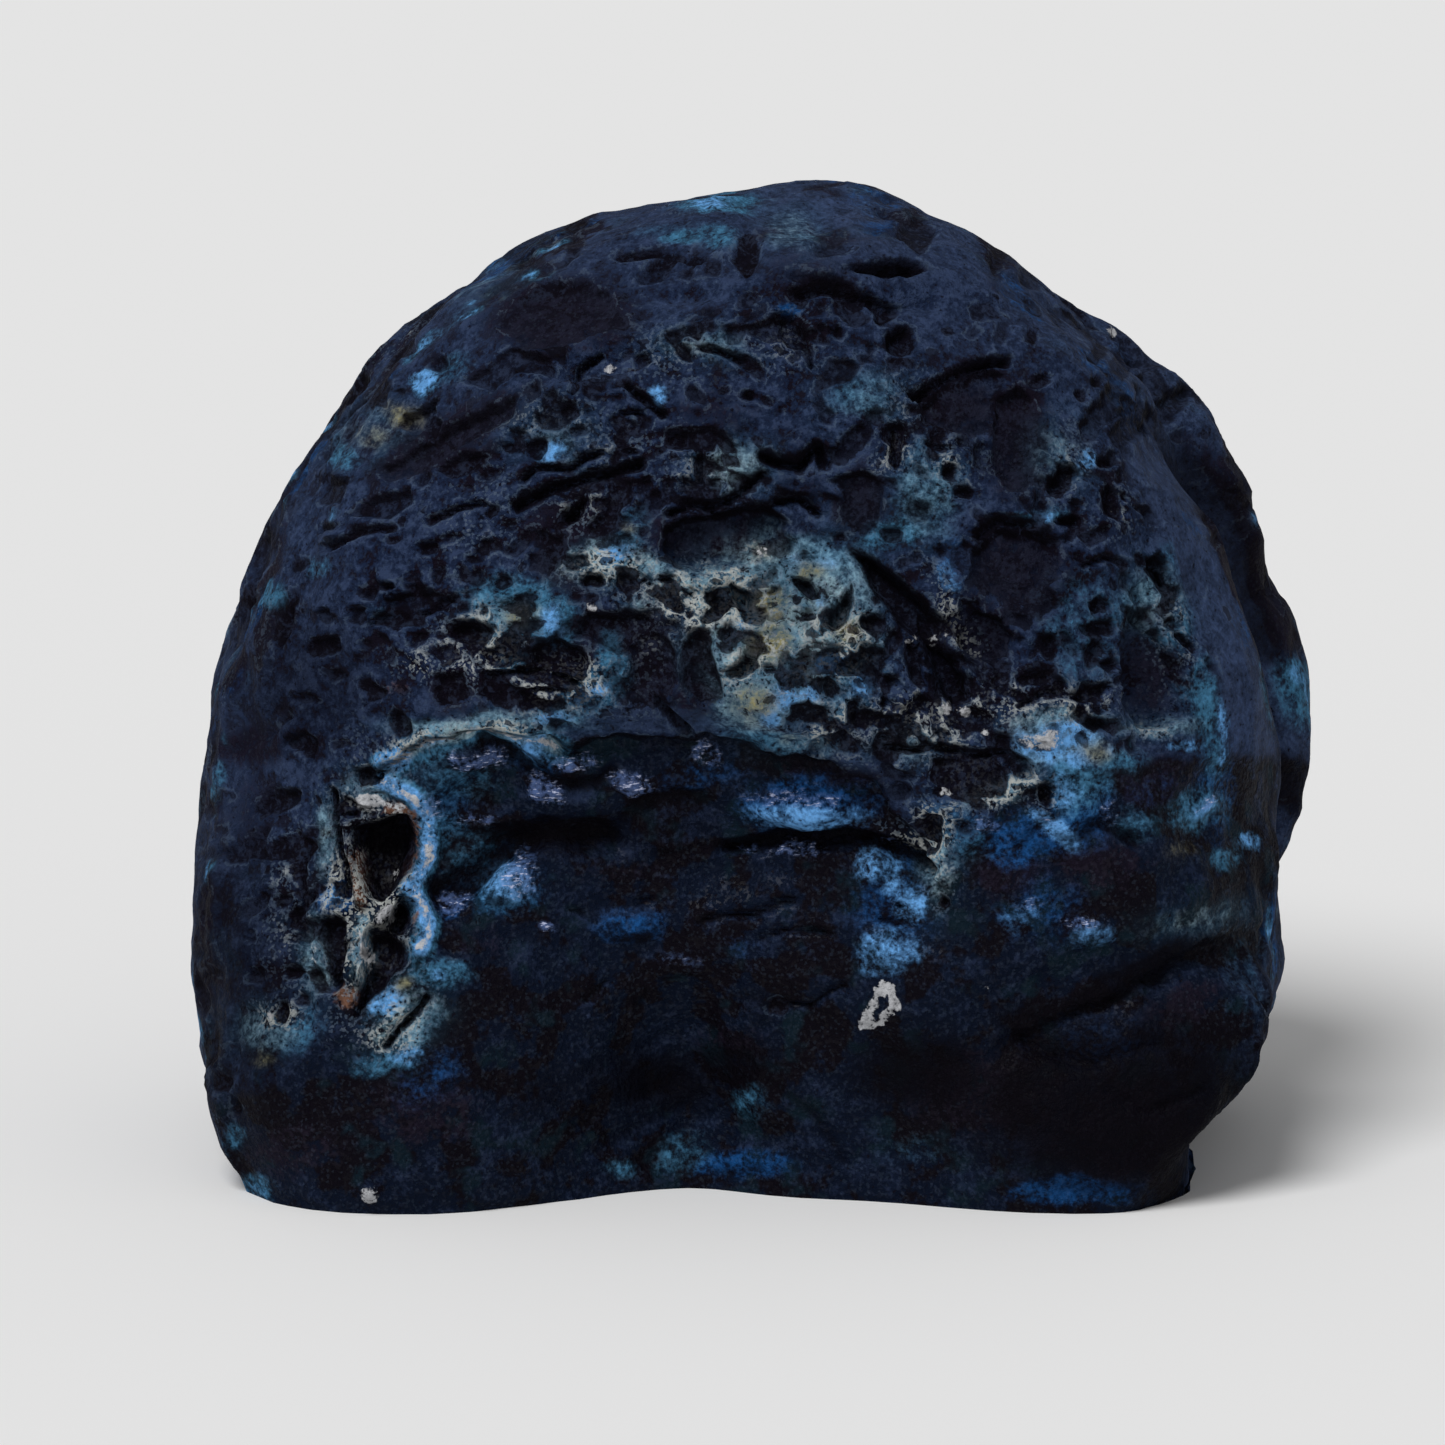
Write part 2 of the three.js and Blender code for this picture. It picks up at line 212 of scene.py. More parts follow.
wander_x = 1.3 * grain(3.4, 1) + 0.8 * grain(1.3, 2)
wander_z = 1.3 * grain(3.4, 3) + 0.8 * grain(1.3, 4)
soft_lumps = grain(9.0, 5)
small_lumps = grain(3.2, 6)
crumbs = grain(1.3, 7)

# The crust of the upper face ends below in an arched ledge; at the left it runs down to the foot.
LEDGE = np.array([
    (-70, 10), (-50, 12), (-45, 17), (-42.5, 22), (-41, 42), (-37.8, 46.8), (-35.4, 48.1),
    (-32.7, 49.2), (-29.5, 50), (-26.9, 50), (-22.1, 49.3), (-19, 48.3), (-13.7, 49.5), (-7, 49.2),
    (-1.3, 48.4), (2.7, 47.6), (8, 46.5), (12, 44.5), (15, 40.5), (17.5, 37), (19.5, 33), (22, 37.5),
    (26, 42.5), (30, 44.5), (40, 46), (50, 47), (70, 47),
])
above_ledge = seen_z + 0.5 * wander_z - np.interp(seen_x + 0.5 * wander_x, *LEDGE.T)
crust = ramp(-0.8, 0.8, above_ledge)

# What is carved into the stone, in millimetres: how far each point moves out, how far it lies
# inside the nearest pit, how darkly the pit is dyed, and how much painted shade a fold gets.
FAR = 9.0  # mm inside or outside a pit, to start from before its sides are known
NOWHERE = 99.0  # mm, a distance to start from when the nearest is sought
relief = np.zeros(len(points))
rim = np.full(len(points), -FAR)
hollow = np.zeros(len(points))
painted_fold_shade = np.zeros(len(points))


def near_place(x, z, reach):
    return np.flatnonzero((np.abs(seen_x - x) < reach) & (np.abs(seen_z - z) < reach) & (facing > 0))


def near_line(line, room):
    middle = np.mean(line, axis=0)
    return near_place(*middle, np.max(np.abs(np.array(line) - middle)) + room)


def strayed(ids, amount):
    return seen_x[ids] + wander_x[ids] * amount, seen_z[ids] + wander_z[ids] * amount


def cut(ids, inside_by, depth, wall, dye=1.0):
    """Sinks a floor where the points are inside, over a wall of that width, under a slight lip."""
    lip = 0.12 * np.exp(-(((inside_by + 0.35) / 0.3) ** 2))
    raised = relief[ids] + lip
    floor = 0.4 * np.minimum(relief[ids], 0) - ramp(-0.15, wall, inside_by) * depth
    relief[ids] = np.where(inside_by > -0.15, np.minimum(raised, floor), raised)
    rim[ids] = np.maximum(rim[ids], inside_by)
    hollow[ids] = np.maximum(hollow[ids], dye * (inside_by > -0.8))


def along_axes(x, z, half_x, half_z, turn, across, up):
    """How far along a turned place's own two axes points lie, as shares of its half sizes."""
    angle = np.radians(turn)
    u = ((across - x) * np.cos(angle) + (up - z) * np.sin(angle)) / half_x
    v = ((up - z) * np.cos(angle) - (across - x) * np.sin(angle)) / half_z
    return u, v


def chipped(u, v, half_x, half_z, sides, first, uneven, least_reach):
    """How far inside a pit with straight, uneven sides the points lie, in millimetres."""
    inside_by = np.full(len(u), FAR)
    for number in range(sides):
        way = first + 2 * np.pi * (number + draw.uniform(-uneven, uneven)) / sides
        reach = draw.uniform(least_reach, 1.05)
        length = np.hypot(np.cos(way) / half_x, np.sin(way) / half_z)
        inside_by = np.minimum(inside_by, (reach - u * np.cos(way) - v * np.sin(way)) / length)
    return inside_by


def straight_sided(x, z, half_x, half_z, turn, sides):
    """The points near a chipped pit of the face, and how far inside it each lies."""
    ids = near_place(x, z, max(half_x, half_z) * 1.5 + 2.5)
    across, up = strayed(ids, min(0.34, 0.16 * min(half_x, half_z) + 0.04))
    u, v = along_axes(x, z, half_x, half_z, turn, across, up)
    first = draw.uniform(0, 2 * np.pi)
    return ids, chipped(u, v, half_x, half_z, sides, first, 0.25, 0.78)


def from_line(line, across, up):
    best = np.full(len(across), NOWHERE)
    for (x0, z0), (x1, z1) in zip(line, line[1:]):
        run_x, run_z = x1 - x0, z1 - z0
        t = ((across - x0) * run_x + (up - z0) * run_z) / (run_x**2 + run_z**2)
        t = np.clip(t, 0.0, 1.0)
        best = np.minimum(best, np.hypot(across - x0 - t * run_x, up - z0 - t * run_z))
    return best


def along_line(line, stray, room=5):
    """The points near a line on the face, and each one's distance from it."""
    ids = near_line(line, room)
    return ids, from_line(line, *strayed(ids, stray))


def within(outline, stray):
    """The points near a closed outline, and how far inside it each lies, in millimetres."""
    ids = near_line(outline, 4)
    across, up = strayed(ids, stray)
    closed = list(outline) + [outline[0]]
    inside = np.zeros(len(ids), bool)
    for (x0, z0), (x1, z1) in zip(closed, closed[1:]):
        if z0 == z1:
            continue
        inside ^= ((z0 > up) != (z1 > up)) & (across < x0 + (up - z0) / (z1 - z0) * (x1 - x0))
    return ids, np.where(inside, 1, -1) * from_line(closed, across, up)


# Crumbled ground of the crust: chipped blocks, each its own height and tilt, and small seeded
# pits between them, thickest where the crust is most worn.
FIELD = np.array([(-61, -3), (61, 109)])  # the whole face and a little more
for spacing, lift, groove, seed in ((4.6, 0.34, 0.16, 11), (2.1, 0.2, 0.1, 12)):
    draw = np.random.RandomState(seed)
    count = int(np.prod(FIELD[1] - FIELD[0]) / spacing**2)
    seats = draw.uniform(*FIELD, (count, 2))
    heights = draw.uniform(-1, 1, count)
    tilts = draw.uniform(-1, 1, (count, 2))
    ids = np.flatnonzero((frontal > 0) & (crust > 0))
    across, up = strayed(ids, 0.45)
    first = np.full(len(ids), NOWHERE)
    second = np.full(len(ids), NOWHERE)
    owner = np.zeros(len(ids), int)
    for number, (x, z) in enumerate(seats):
        gap = np.hypot(across - x, up - z)
        nearer = gap < first
        second = np.where(nearer, first, np.minimum(second, gap))
        owner = np.where(nearer, number, owner)
        first = np.where(nearer, gap, first)
    lean = (across - seats[owner, 0]) * tilts[owner, 0] + (up - seats[owner, 1]) * tilts[owner, 1]
    block = lift * (heights[owner] * 0.5 + lean / spacing)
    block -= groove * ramp(spacing * 0.2, 0.0, second - first)
    edge_ease = ramp(0.0, spacing * 0.12, second - first)
    relief[ids] += block * edge_ease * crust[ids]
veins = np.clip(0.1 - np.abs(small_lumps), 0, None)
relief += crust * (0.26 * small_lumps + 0.14 * crumbs + 0.3 * veins)
proud = np.clip(relief / 0.45, -1, 1)

# Where the small pits crowd: the middle, the spread and the number of them.
PITTED = [
    (24, 65, 6, 40), (37, 58, 4, 16), (29, 55, 4, 24), (12, 51, 5, 34), (20, 52, 4, 26), (3, 59, 6, 44),
    (-6, 63, 5, 26), (-14, 78, 6, 30), (-3, 76, 5, 18), (-20, 56, 5, 30), (-28, 61, 6, 26),
    (19, 79, 5, 28), (33, 76, 5, 26), (-24, 70, 6, 24), (24, 45, 4, 18), (-43, 31, 3, 20),
    (5, 90, 6, 16), (-36, 57, 5, 16),
]
STRAY_PITS = 440
draw = np.random.RandomState(31)
seats = [(draw.uniform(-56, 53), draw.uniform(14, 104), 1.25) for number in range(STRAY_PITS)]
for x, z, spread, count in PITTED:
    seats += [(draw.normal(x, spread), draw.normal(z, spread), 0.75) for number in range(count)]
for x, z, growth in seats:
    size = 0.42 * np.exp(draw.uniform(0, growth))
    stretch = np.exp(draw.uniform(0, 0.9))
    turn = draw.normal(28, 30) if x < -8 else draw.uniform(-90, 90)
    depth = draw.uniform(0.45, 0.85) * size**0.8
    sides = draw.randint(4, 7)
    if z < np.interp(x, *LEDGE.T) + 1.2:
        continue
    ids, inside_by = straight_sided(x, z, size * stretch, size, turn, sides)
    cut(ids, inside_by, depth, 0.45, draw.uniform(0.5, 1.0))

# The larger pits and blade casts, each where it is: place, half sizes, depth and, if any, turn.
PITS = [
    (14, 98, 4.6, 0.95, 1.9, 2), (15.1, 90.4, 1.8, 1.6, 1.5, 20), (8.4, 91.4, 0.8, 0.7, 0.6),
    (-3.2, 85, 0.7, 0.5, 0.6, 20), (-0.8, 84.5, 0.9, 0.6, 0.7, -10), (-17.1, 82.9, 0.5, 0.4, 0.7),
    (-12.7, 78.8, 1.2, 0.4, 0.7, 5), (-18.3, 72.6, 2.1, 0.75, 1.5, 47), (-5.6, 76.9, 0.8, 2.2, 1.2),
    (-7.9, 79.9, 1.2, 0.5, 0.8, 10), (-9.8, 78.9, 0.6, 0.5, 0.7), (-6.9, 73.5, 1.1, 0.65, 0.9, 5),
    (-4.5, 72.9, 1.2, 0.7, 1.6, 15), (14.4, 79, 0.75, 2.6, 1.3, 2), (18.6, 79.4, 1.6, 0.55, 0.9, -20),
    (19.8, 76.6, 0.85, 1, 0.9, 30), (21.5, 74.4, 1.2, 0.6, 0.8, -5), (31.4, 75.8, 1, 1.9, 1.1, -35),
    (36.7, 73.7, 1.2, 2.3, 1.2, 10), (36.1, 78, 1.3, 0.7, 0.8, 15), (39.1, 79.9, 1, 1.1, 0.7),
    (42, 72.5, 1.3, 1, 1), (32.2, 71.5, 1.4, 0.6, 1), (35, 86.2, 0.8, 0.8, 0.7),
    (28.3, 91, 0.7, 1, 0.6), (41.9, 66.2, 1.55, 2.2, 1.9, 18), (44.5, 59.2, 1.5, 0.6, 0.9, -35),
    (47.6, 58.4, 0.7, 0.7, 0.6), (-48.4, 60.6, 1, 2.4, 1.2, -28), (-35.1, 64.9, 1.1, 0.35, 0.7),
    (-37.6, 64.7, 0.8, 0.45, 0.7), (-36.9, 61.3, 2.3, 1, 0.8, 10), (-29.3, 60, 2.3, 1.3, 1.5, 8),
    (-24.5, 59, 0.9, 1, 1), (-39.1, 54.1, 1, 0.5, 0.6, 25), (-30.9, 54.1, 2.2, 1.8, 0.7),
    (-26.1, 53.5, 1.9, 1.9, 0.7), (-22.6, 52.6, 1.7, 1.1, 0.6), (-16.5, 65.5, 1.5, 0.95, 1.4),
    (-13, 65, 1.5, 1.1, 1.1, -10), (-10.9, 65.2, 1.6, 0.4, 1, -35), (-9, 65.5, 1.1, 0.6, 1.1),
    (-6.6, 63.9, 1.1, 0.4, 1, 12), (-7.9, 62.7, 0.8, 0.6, 0.9), (-3.8, 63.1, 0.85, 0.75, 1, 3),
    (-2.8, 59.8, 0.5, 1.3, 1.1, -30), (-5, 58, 0.5, 2.2, 1, 15), (-6.9, 57.9, 0.8, 0.55, 0.9),
    (5.1, 64.7, 1.8, 0.8, 1.4, -27), (5.4, 61.8, 0.9, 0.65, 1), (11.7, 60.9, 1.1, 0.9, 1.1, 20),
    (12.4, 56.8, 0.55, 1.9, 1.1, 10), (13.3, 52.5, 0.6, 0.8, 0.9, -30), (1.4, 56, 0.6, 0.5, 0.8),
    (7.7, 54.1, 0.8, 1.5, 1.1, 5), (10.1, 51.4, 0.65, 1.8, 0.8, 15), (5.4, 51.4, 2.2, 1.2, 0.9),
    (8.8, 48.9, 1.1, 0.8, 1.2), (13.1, 48.9, 1, 0.7, 1), (-1, 51.5, 0.5, 0.5, 0.9),
    (0.2, 51.6, 0.4, 0.45, 0.8), (16.3, 56.4, 0.8, 2.7, 1.2, 14), (28.6, 55.2, 2.2, 1, 0.9),
    (30, 58.4, 0.9, 1.4, 0.9), (35, 58.4, 0.9, 0.9, 0.9), (35.3, 60.4, 0.6, 0.6, 0.7),
    (35, 50.2, 1.5, 0.85, 1.3), (21.9, 44.6, 4.2, 2.8, 0.9, 5), (17.8, 38.8, 1.5, 2.4, 1.1),
    (29.7, 42.8, 0.75, 1.4, 1.1, 15), (-48.4, 20.3, 0.8, 1.3, 1.2, -20),
    (-47.1, 24.4, 1.2, 0.7, 0.8, 20), (-54.5, 16, 0.8, 1.4, 0.8), (-54, 13, 0.8, 1.2, 0.8),
    (-52.9, 10.3, 0.7, 0.9, 0.7), (14.8, 31.4, 0.5, 0.5, 1.2), (14.3, 27.9, 0.4, 0.4, 1),
    (11.5, 35.4, 0.35, 1, 1, -8), (19, 31.7, 0.8, 0.9, 1.2), (2.2, 20.9, 1.3, 1.2, 0.6),
    (-11.1, 31.9, 1.3, 0.5, 0.6, 5),
]
# Flat-floored casts with a true outline: depth, wall, how dark the floor is, and its corners.
CASTS = [
    (2.6, 1, 0.3, [
        (-9.8, 68.6), (-7.9, 66.4), (-5.3, 66.1), (-2.9, 66.4), (-1.3, 67.1), (0.8, 68), (2.6, 69.4),
        (3.6, 71.3), (1.5, 73), (-1, 73.4), (-3.5, 73), (-7.5, 71.8), (-9.3, 70.4),
    ]),
    (3, 0.7, 1, [
        (9.4, 68.6), (12, 67.6), (14.4, 66.1), (15.8, 64.6), (17.2, 63.2), (19.1, 61.5), (20.2, 59.5),
        (21.1, 57.2), (21.8, 54.9), (21.9, 52.6), (20, 52), (18.6, 53.8), (18, 56.1), (16.9, 58.4),
        (15.8, 59.5), (14.4, 61.2), (12.7, 63.5), (11.2, 65.6),
    ]),
    (1.5, 0.7, 0.8, [
        (2.5, 93.2), (3.8, 93.8), (4.8, 92.1), (5.6, 91), (5.9, 88.8), (6.6, 86.6), (5.6, 87.4),
        (4.8, 89.4), (3, 89.7), (2.4, 91.5),
    ]),
    (1.6, 0.6, 0.85, [
        (-22.9, 57.9), (-22.1, 58.7), (-20.2, 59.5), (-18.9, 59), (-17.6, 58.4), (-16.8, 56.8),
        (-17.3, 55.7), (-20.2, 55.9), (-22.6, 56),
    ]),
    (1.3, 0.6, 0.7, [
        (-19.1, 59.3), (-17, 62), (-11.1, 62), (-10.3, 60.1), (-12.5, 59), (-13.8, 57.4), (-17.2, 59.3),
    ]),
    (1.2, 0.7, 0.7, [
        (-13.3, 58.5), (-11, 60.2), (-9.2, 60), (-8, 58), (-7.9, 54.5), (-9.5, 52), (-12.6, 51.6),
        (-13.8, 53.5), (-12.9, 56),
    ]),
    (1.4, 0.6, 0.8, [
        (-7.6, 58.8), (-5.8, 60.8), (-4.6, 58.5), (-3.4, 55.5), (-3.2, 52.6), (-6, 52.2), (-7.6, 54.4),
    ]),
    (1.9, 0.6, 0.9, [(10.1, 65.2), (10.4, 62.8), (9.3, 61), (8.3, 60.1), (7, 61.2), (8.5, 63.1)]),
    (1.4, 0.5, 0.8, [(-2.8, 65.3), (-0.4, 64.2), (-0.2, 62.2), (-1.6, 62.5), (-2.3, 63.6)]),
    (1.3, 0.5, 0.9, [(-3.2, 55.8), (-1.6, 57.1), (0.3, 57.6), (0.3, 56.2), (-1.3, 54.9), (-2.6, 54.9)]),
    (1.8, 1, 0.5, [
        (21.8, 65), (22.2, 68.6), (24, 71.2), (28.6, 71.4), (31.2, 69.6), (31.4, 66), (29, 62.6),
        (25, 62.4),
    ]),
    (1.4, 0.6, 0.6, [
        (20.9, 59.2), (22.3, 62.1), (25, 61.2), (26.4, 59.5), (26.1, 57.5), (23.3, 57), (21.3, 57.9),
    ]),
    (1.9, 0.7, 0.3, [
        (38.6, 62.6), (40.6, 63), (41.4, 61.2), (42.3, 59.5), (43.4, 56.6), (44.2, 54.4), (44.2, 50.9),
        (41.7, 50.1), (38.9, 50.1), (37.8, 52.1), (37.5, 54.9), (37.3, 58.4), (37.8, 60.6),
    ]),
    (1.1, 0.9, 0.5, [
        (16.6, 83.8), (19.1, 86.3), (21.1, 87.1), (24.4, 88.3), (25.8, 87), (24.6, 82.2), (21, 80.8),
        (17.4, 81.6),
    ]),
    (1, 0.9, 0.4, [
        (24.8, 85), (27.6, 85.4), (29.2, 82.6), (29, 78), (27.6, 74.8), (25.8, 74.6), (24, 78.2),
    ]),
    (0.9, 0.9, 0.4, [
        (-38.8, 77), (-33.5, 80.4), (-27.8, 83.3), (-24, 84.8), (-24.8, 82.4), (-29.4, 79.6),
        (-34.6, 76.4), (-37.8, 75.6),
    ]),
    (0.9, 0.9, 0.35, [
        (-26.4, 92), (-24.2, 95), (-18.6, 96.6), (-14.6, 95.8), (-13.8, 92.2), (-18.2, 90),
        (-23.4, 89.6),
    ]),
    (0.8, 0.6, 0.5, [(8.7, 76.2), (11.6, 77), (13.3, 75), (12.6, 71), (10.8, 69.4), (8.9, 71.8)]),
]
# Cracks and crevices: half width, depth, and the line each follows.
CRACKS = [
    (0.55, 1.1, [(4.3, 95.2), (7, 95.6), (10.1, 95.2), (12.3, 94), (13.3, 92.2)]),
    (0.4, 0.9, [(-5.5, 89.7), (-3.5, 89.2), (-1.3, 88.2)]),
    (0.45, 1.2, [(-13, 85.7), (-11.4, 84.2), (-9.5, 82.6)]),
    (0.35, 0.9, [(-13.5, 82.9), (-11.7, 82.9)]),
    (0.4, 1, [(-23.9, 75.8), (-22.3, 77.1), (-19.1, 76.9), (-17, 78.2), (-15.6, 78.7)]),
    (0.75, 1.5, [(-24.2, 73), (-20.4, 75), (-17.3, 76.1), (-14.6, 76.6), (-11.9, 77.4)]),
    (0.7, 1.7, [(0.8, 78.2), (2.4, 77.4), (4.6, 77), (5.6, 78.5), (6.4, 79.3), (7, 77.4)]),
    (0.5, 1.3, [(2.2, 73.3), (4.8, 73.5), (6.4, 72.2)]),
    (0.6, 1.4, [(-8.5, 72.3), (-6, 72.9), (-3, 73.6), (-0.5, 75.2), (0.8, 76.4)]),
    (0.6, 1.4, [(16.3, 84.5), (19.1, 86.5), (21.1, 87.3), (24.4, 88.5), (25.8, 88.2)]),
    (0.7, 1.4, [(22.8, 70.2), (24.6, 71.6), (28.3, 71.4)]),
    (0.45, 1, [(-34.6, 61.7), (-32.7, 62.5), (-30.6, 63.6)]),
    (0.4, 1.3, [(-27.4, 55.5), (-24.2, 55.9), (-21.5, 55.7), (-19.4, 55.1), (-17.6, 54.4)]),
    (0.4, 0.9, [(-24.2, 53.3), (-22.1, 54), (-19.7, 53.6)]),
    (0.6, 1.6, [(-9.7, 52.1), (-8.2, 50.6), (-6.9, 49.5)]),
    (0.5, 1.3, [(13.4, 47.7), (18.3, 47.8), (21.9, 47.2), (25.6, 47.3)]),
    (0.5, 0.9, [(-45, 32.6), (-47.3, 29.8)]),
    (0.35, 0.9, [(-18.6, 85), (-17.8, 87.2), (-15.6, 88.6)]),
    (0.5, 0.9, [(-14.2, 99.1), (-10, 99.7), (-5.6, 98.6)]),
    (0.4, 0.7, [(-33.4, 71.5), (-30, 73), (-27.5, 73.4)]),
    (0.4, 0.7, [(-43.6, 68.5), (-40.6, 70.4), (-37, 71)]),
    (0.35, 0.7, [(33.6, 66.9), (36, 67.8), (38, 67.2)]),
    (0.35, 0.8, [(26.8, 52.2), (30.2, 53.6), (33.8, 53)]),
]


def sink_pit(x, z, half_x, half_z, depth, turn=0):
    ids, inside_by = straight_sided(x, z, half_x, half_z, turn, 6)
    cut(ids, inside_by, depth, min(0.7, 0.3 + 0.3 * min(half_x, half_z)))


draw = np.random.RandomState(41)
for depth, wall, tone, outline in CASTS:
    ids, inside_by = within(outline, 0.22)
    cut(ids, inside_by, depth, wall, tone)
    level = ids[inside_by > 0.5]
    relief[level] = 0.3 * relief[level] - 0.7 * depth
    hollow[level] = tone
for pit in PITS:
    sink_pit(*pit)
for half_width, depth, line in CRACKS:
    ids, gap = along_line(line, 0.2, 3)
    cut(ids, half_width - gap, depth, half_width)

# The left cavity, where the crust broke open into agate bands: stepped hollows behind a raised
# rounded rim, with thin fins left standing between them.  Hollows: depth, wall and corners.
# Cracks and fins: half width, depth or height, and line.
HOLLOWS = [
    (4.2, 1, [
        (-41.4, 39.6), (-38.5, 40.2), (-36.6, 40.9), (-35.3, 40.6), (-34.6, 39.2), (-34.4, 37.2),
        (-35, 35.4), (-36.4, 33.6), (-38.3, 31.9), (-39.6, 32.4), (-40.3, 34.5), (-41, 37),
    ]),
    (2.4, 0.6, [
        (-36.2, 32.5), (-35, 31.3), (-34.9, 29.8), (-35.9, 28.2), (-37.7, 28.8), (-37.2, 30.6),
    ]),
    (2.8, 0.8, [
        (-39.2, 29), (-37, 28.9), (-35.7, 27.6), (-35.2, 26.3), (-35.8, 24.8), (-37.5, 23.8),
        (-40, 23.2), (-40.4, 26),
    ]),
    (2.6, 0.6, [
        (-39.6, 24.9), (-36.8, 24.5), (-37.6, 22.9), (-39.5, 21.2), (-41.3, 19), (-40.7, 22.3),
    ]),
    (1.9, 0.6, [
        (-44.8, 29.9), (-43.4, 30.4), (-42, 30), (-42.1, 27), (-42.2, 24.5), (-42.8, 22.3),
        (-43.8, 22.5), (-43.7, 25), (-44.6, 27.5),
    ]),
    (1.6, 0.6, [(-41.2, 45.4), (-39.4, 46), (-38, 45.2), (-38.6, 43.9), (-40.6, 43.7)]),
    (1.3, 0.4, [(-42.4, 41), (-40.8, 41.2), (-40.2, 40.6), (-41.8, 40.2)]),
]
CAVITY_CRACKS = [
    (0.45, 1.5, [(-43.2, 43.3), (-42.8, 40), (-42.5, 37.5), (-41.9, 35.5), (-41.7, 32.5)]),
    (0.5, 1.6, [(-33.4, 21.8), (-34.8, 20.1), (-36.2, 18.7), (-37.5, 16.8)]),
    (0.4, 0.8, [(-45.8, 38), (-46.4, 34.6), (-46, 31.5)]),
]
FINS = [
    (0.45, 1.3, [(-40.9, 37.2), (-40.6, 34.6), (-40.2, 31.6)]),
    (0.5, 1, [(-36.6, 31.9), (-37.6, 30.6), (-38.9, 29.3)]),
    (0.35, 0.9, [(-39.9, 29.2), (-39.8, 26.4), (-40.4, 23.6)]),
    (0.4, 0.8, [(-41.3, 28.2), (-41.3, 25.4), (-41.8, 23.2)]),
    (0.35, 0.5, [(-44.9, 27.6), (-44.4, 24.9), (-43.4, 22.6)]),
    (0.4, 0.5, [(-42.6, 39.9), (-40.2, 40.3), (-38.4, 40.9)]),
]
AGATE_RIM = [
    (-38.6, 44.4), (-37.2, 43.9), (-34.9, 42.8), (-33.7, 41.2), (-33.3, 39), (-33.5, 36.8),
    (-34.3, 34.6), (-35.2, 33.2), (-33.9, 31.3), (-33.3, 29.6), (-33.6, 28), (-34.4, 26.8),
]


def raise_line(line, half_width, height):
    ids, gap = along_line(line, 0.12)
    relief[ids] += height * ramp(half_width * 1.4, half_width * 0.4, gap)
    hollow[ids] *= ramp(half_width * 0.3, half_width * 1.2, gap)


raise_line(AGATE_RIM, 1.1, 0.7)
for depth, wall, outline in HOLLOWS:
    ids, inside_by = within(outline, 0.14)
    cut(ids, inside_by, depth, wall)
for half_width, depth, line in CAVITY_CRACKS:
    ids, gap = along_line(line, 0.12)
    cut(ids, half_width - gap, depth, half_width)
for half_width, height, line in FINS:
    raise_line(line, half_width, height)

# Below the crust the smooth wall of the recess drops back under the arched ledge, and swells
# and folds like set jelly.
ledge_drop = np.interp(
    seen_x, (-41, -38, -20, 10, 17, 20, 26, 50), (0, 1.5, 1.7, 1.8, 1.4, 0.4, 0.5, 0.3)
)
under = np.clip(-above_ledge, 0, None)
relief -= ledge_drop * ramp(0.0, 1.1, under) * np.exp(-under / 6.0)
ledge_lip = ramp(1.4, 0.2, above_ledge) * ramp(-0.3, 0.2, above_ledge)
relief += 0.35 * ledge_lip * np.minimum(ledge_drop, 1.0)
below = (1.0 - crust) * (seen_x > -46)
rolls = below * (0.55 * soft_lumps + 0.42 * small_lumps + 0.14 * crumbs)
relief += rolls
proud += rolls
on_ledge = (ledge_drop > 0.9) & (np.abs(above_ledge) < np.abs(rim))
rim[on_ledge] = -above_ledge[on_ledge]

# Swells: place, half sizes, height and, if any, turn.  Folds: half width, depth and line.
SWELLS = [
    (-28.6, 46.2, 2.6, 1.1, 0.8), (-18.4, 46.4, 2.2, 1, 0.8), (-21.6, 43.2, 1.7, 1, 0.7, 10),
    (-12.4, 43.9, 2, 1.2, 0.9, -10), (-5, 46.6, 1.5, 0.8, 0.5), (-22.6, 47.6, 2.6, 1.3, 0.9, -40),
    (5, 41.3, 5.6, 2.3, 1.4), (-25.7, 34, 3, 2.5, 1.1, 15), (-30.9, 32, 1.8, 1.1, 0.6, 25),
    (-12.5, 29.4, 3.6, 1.7, 0.8), (-8.5, 25.2, 3.4, 1.4, 0.6), (12.2, 35.4, 2, 2, 0.8),
    (15.2, 32.6, 1.7, 2.2, 0.6, 20), (13.4, 27.2, 3, 2.6, 0.7), (-0.5, 20.1, 1.6, 1.5, 0.5),
    (-28.5, 40.5, 3.2, 1.8, 0.6), (-8, 39, 3.8, 2.2, 0.7, 10), (-32.6, 24.4, 2.4, 1.3, 0.5),
    (39.1, 22.2, 0.9, 1.1, 0.5), (35, 18, 5, 2.6, 0.5), (34.8, 28.8, 3, 2, 0.6),
    (31, 40, 3.4, 1.3, 0.6, -35), (46.2, 41.6, 2.4, 1.1, 0.5, 25), (19, 34.4, 1.2, 1.1, 0.5),
    (-39.6, 42.2, 1.2, 0.7, 0.8), (3, 79.9, 3.6, 1.8, 0.7), (4.4, 75.2, 3.8, 1.2, 0.8, -5),
    (-4.5, 82.4, 4.6, 3.4, 0.5), (5.4, 97.6, 4.8, 2.4, 0.7), (-8.9, 53, 0.9, 0.8, 0.7),
    (-1.3, 5.4, 4.4, 1.8, 0.4), (-39.4, 1.5, 1.1, 1, 0.5), (0.4, 106.4, 1.2, 1.2, 0.6),
]
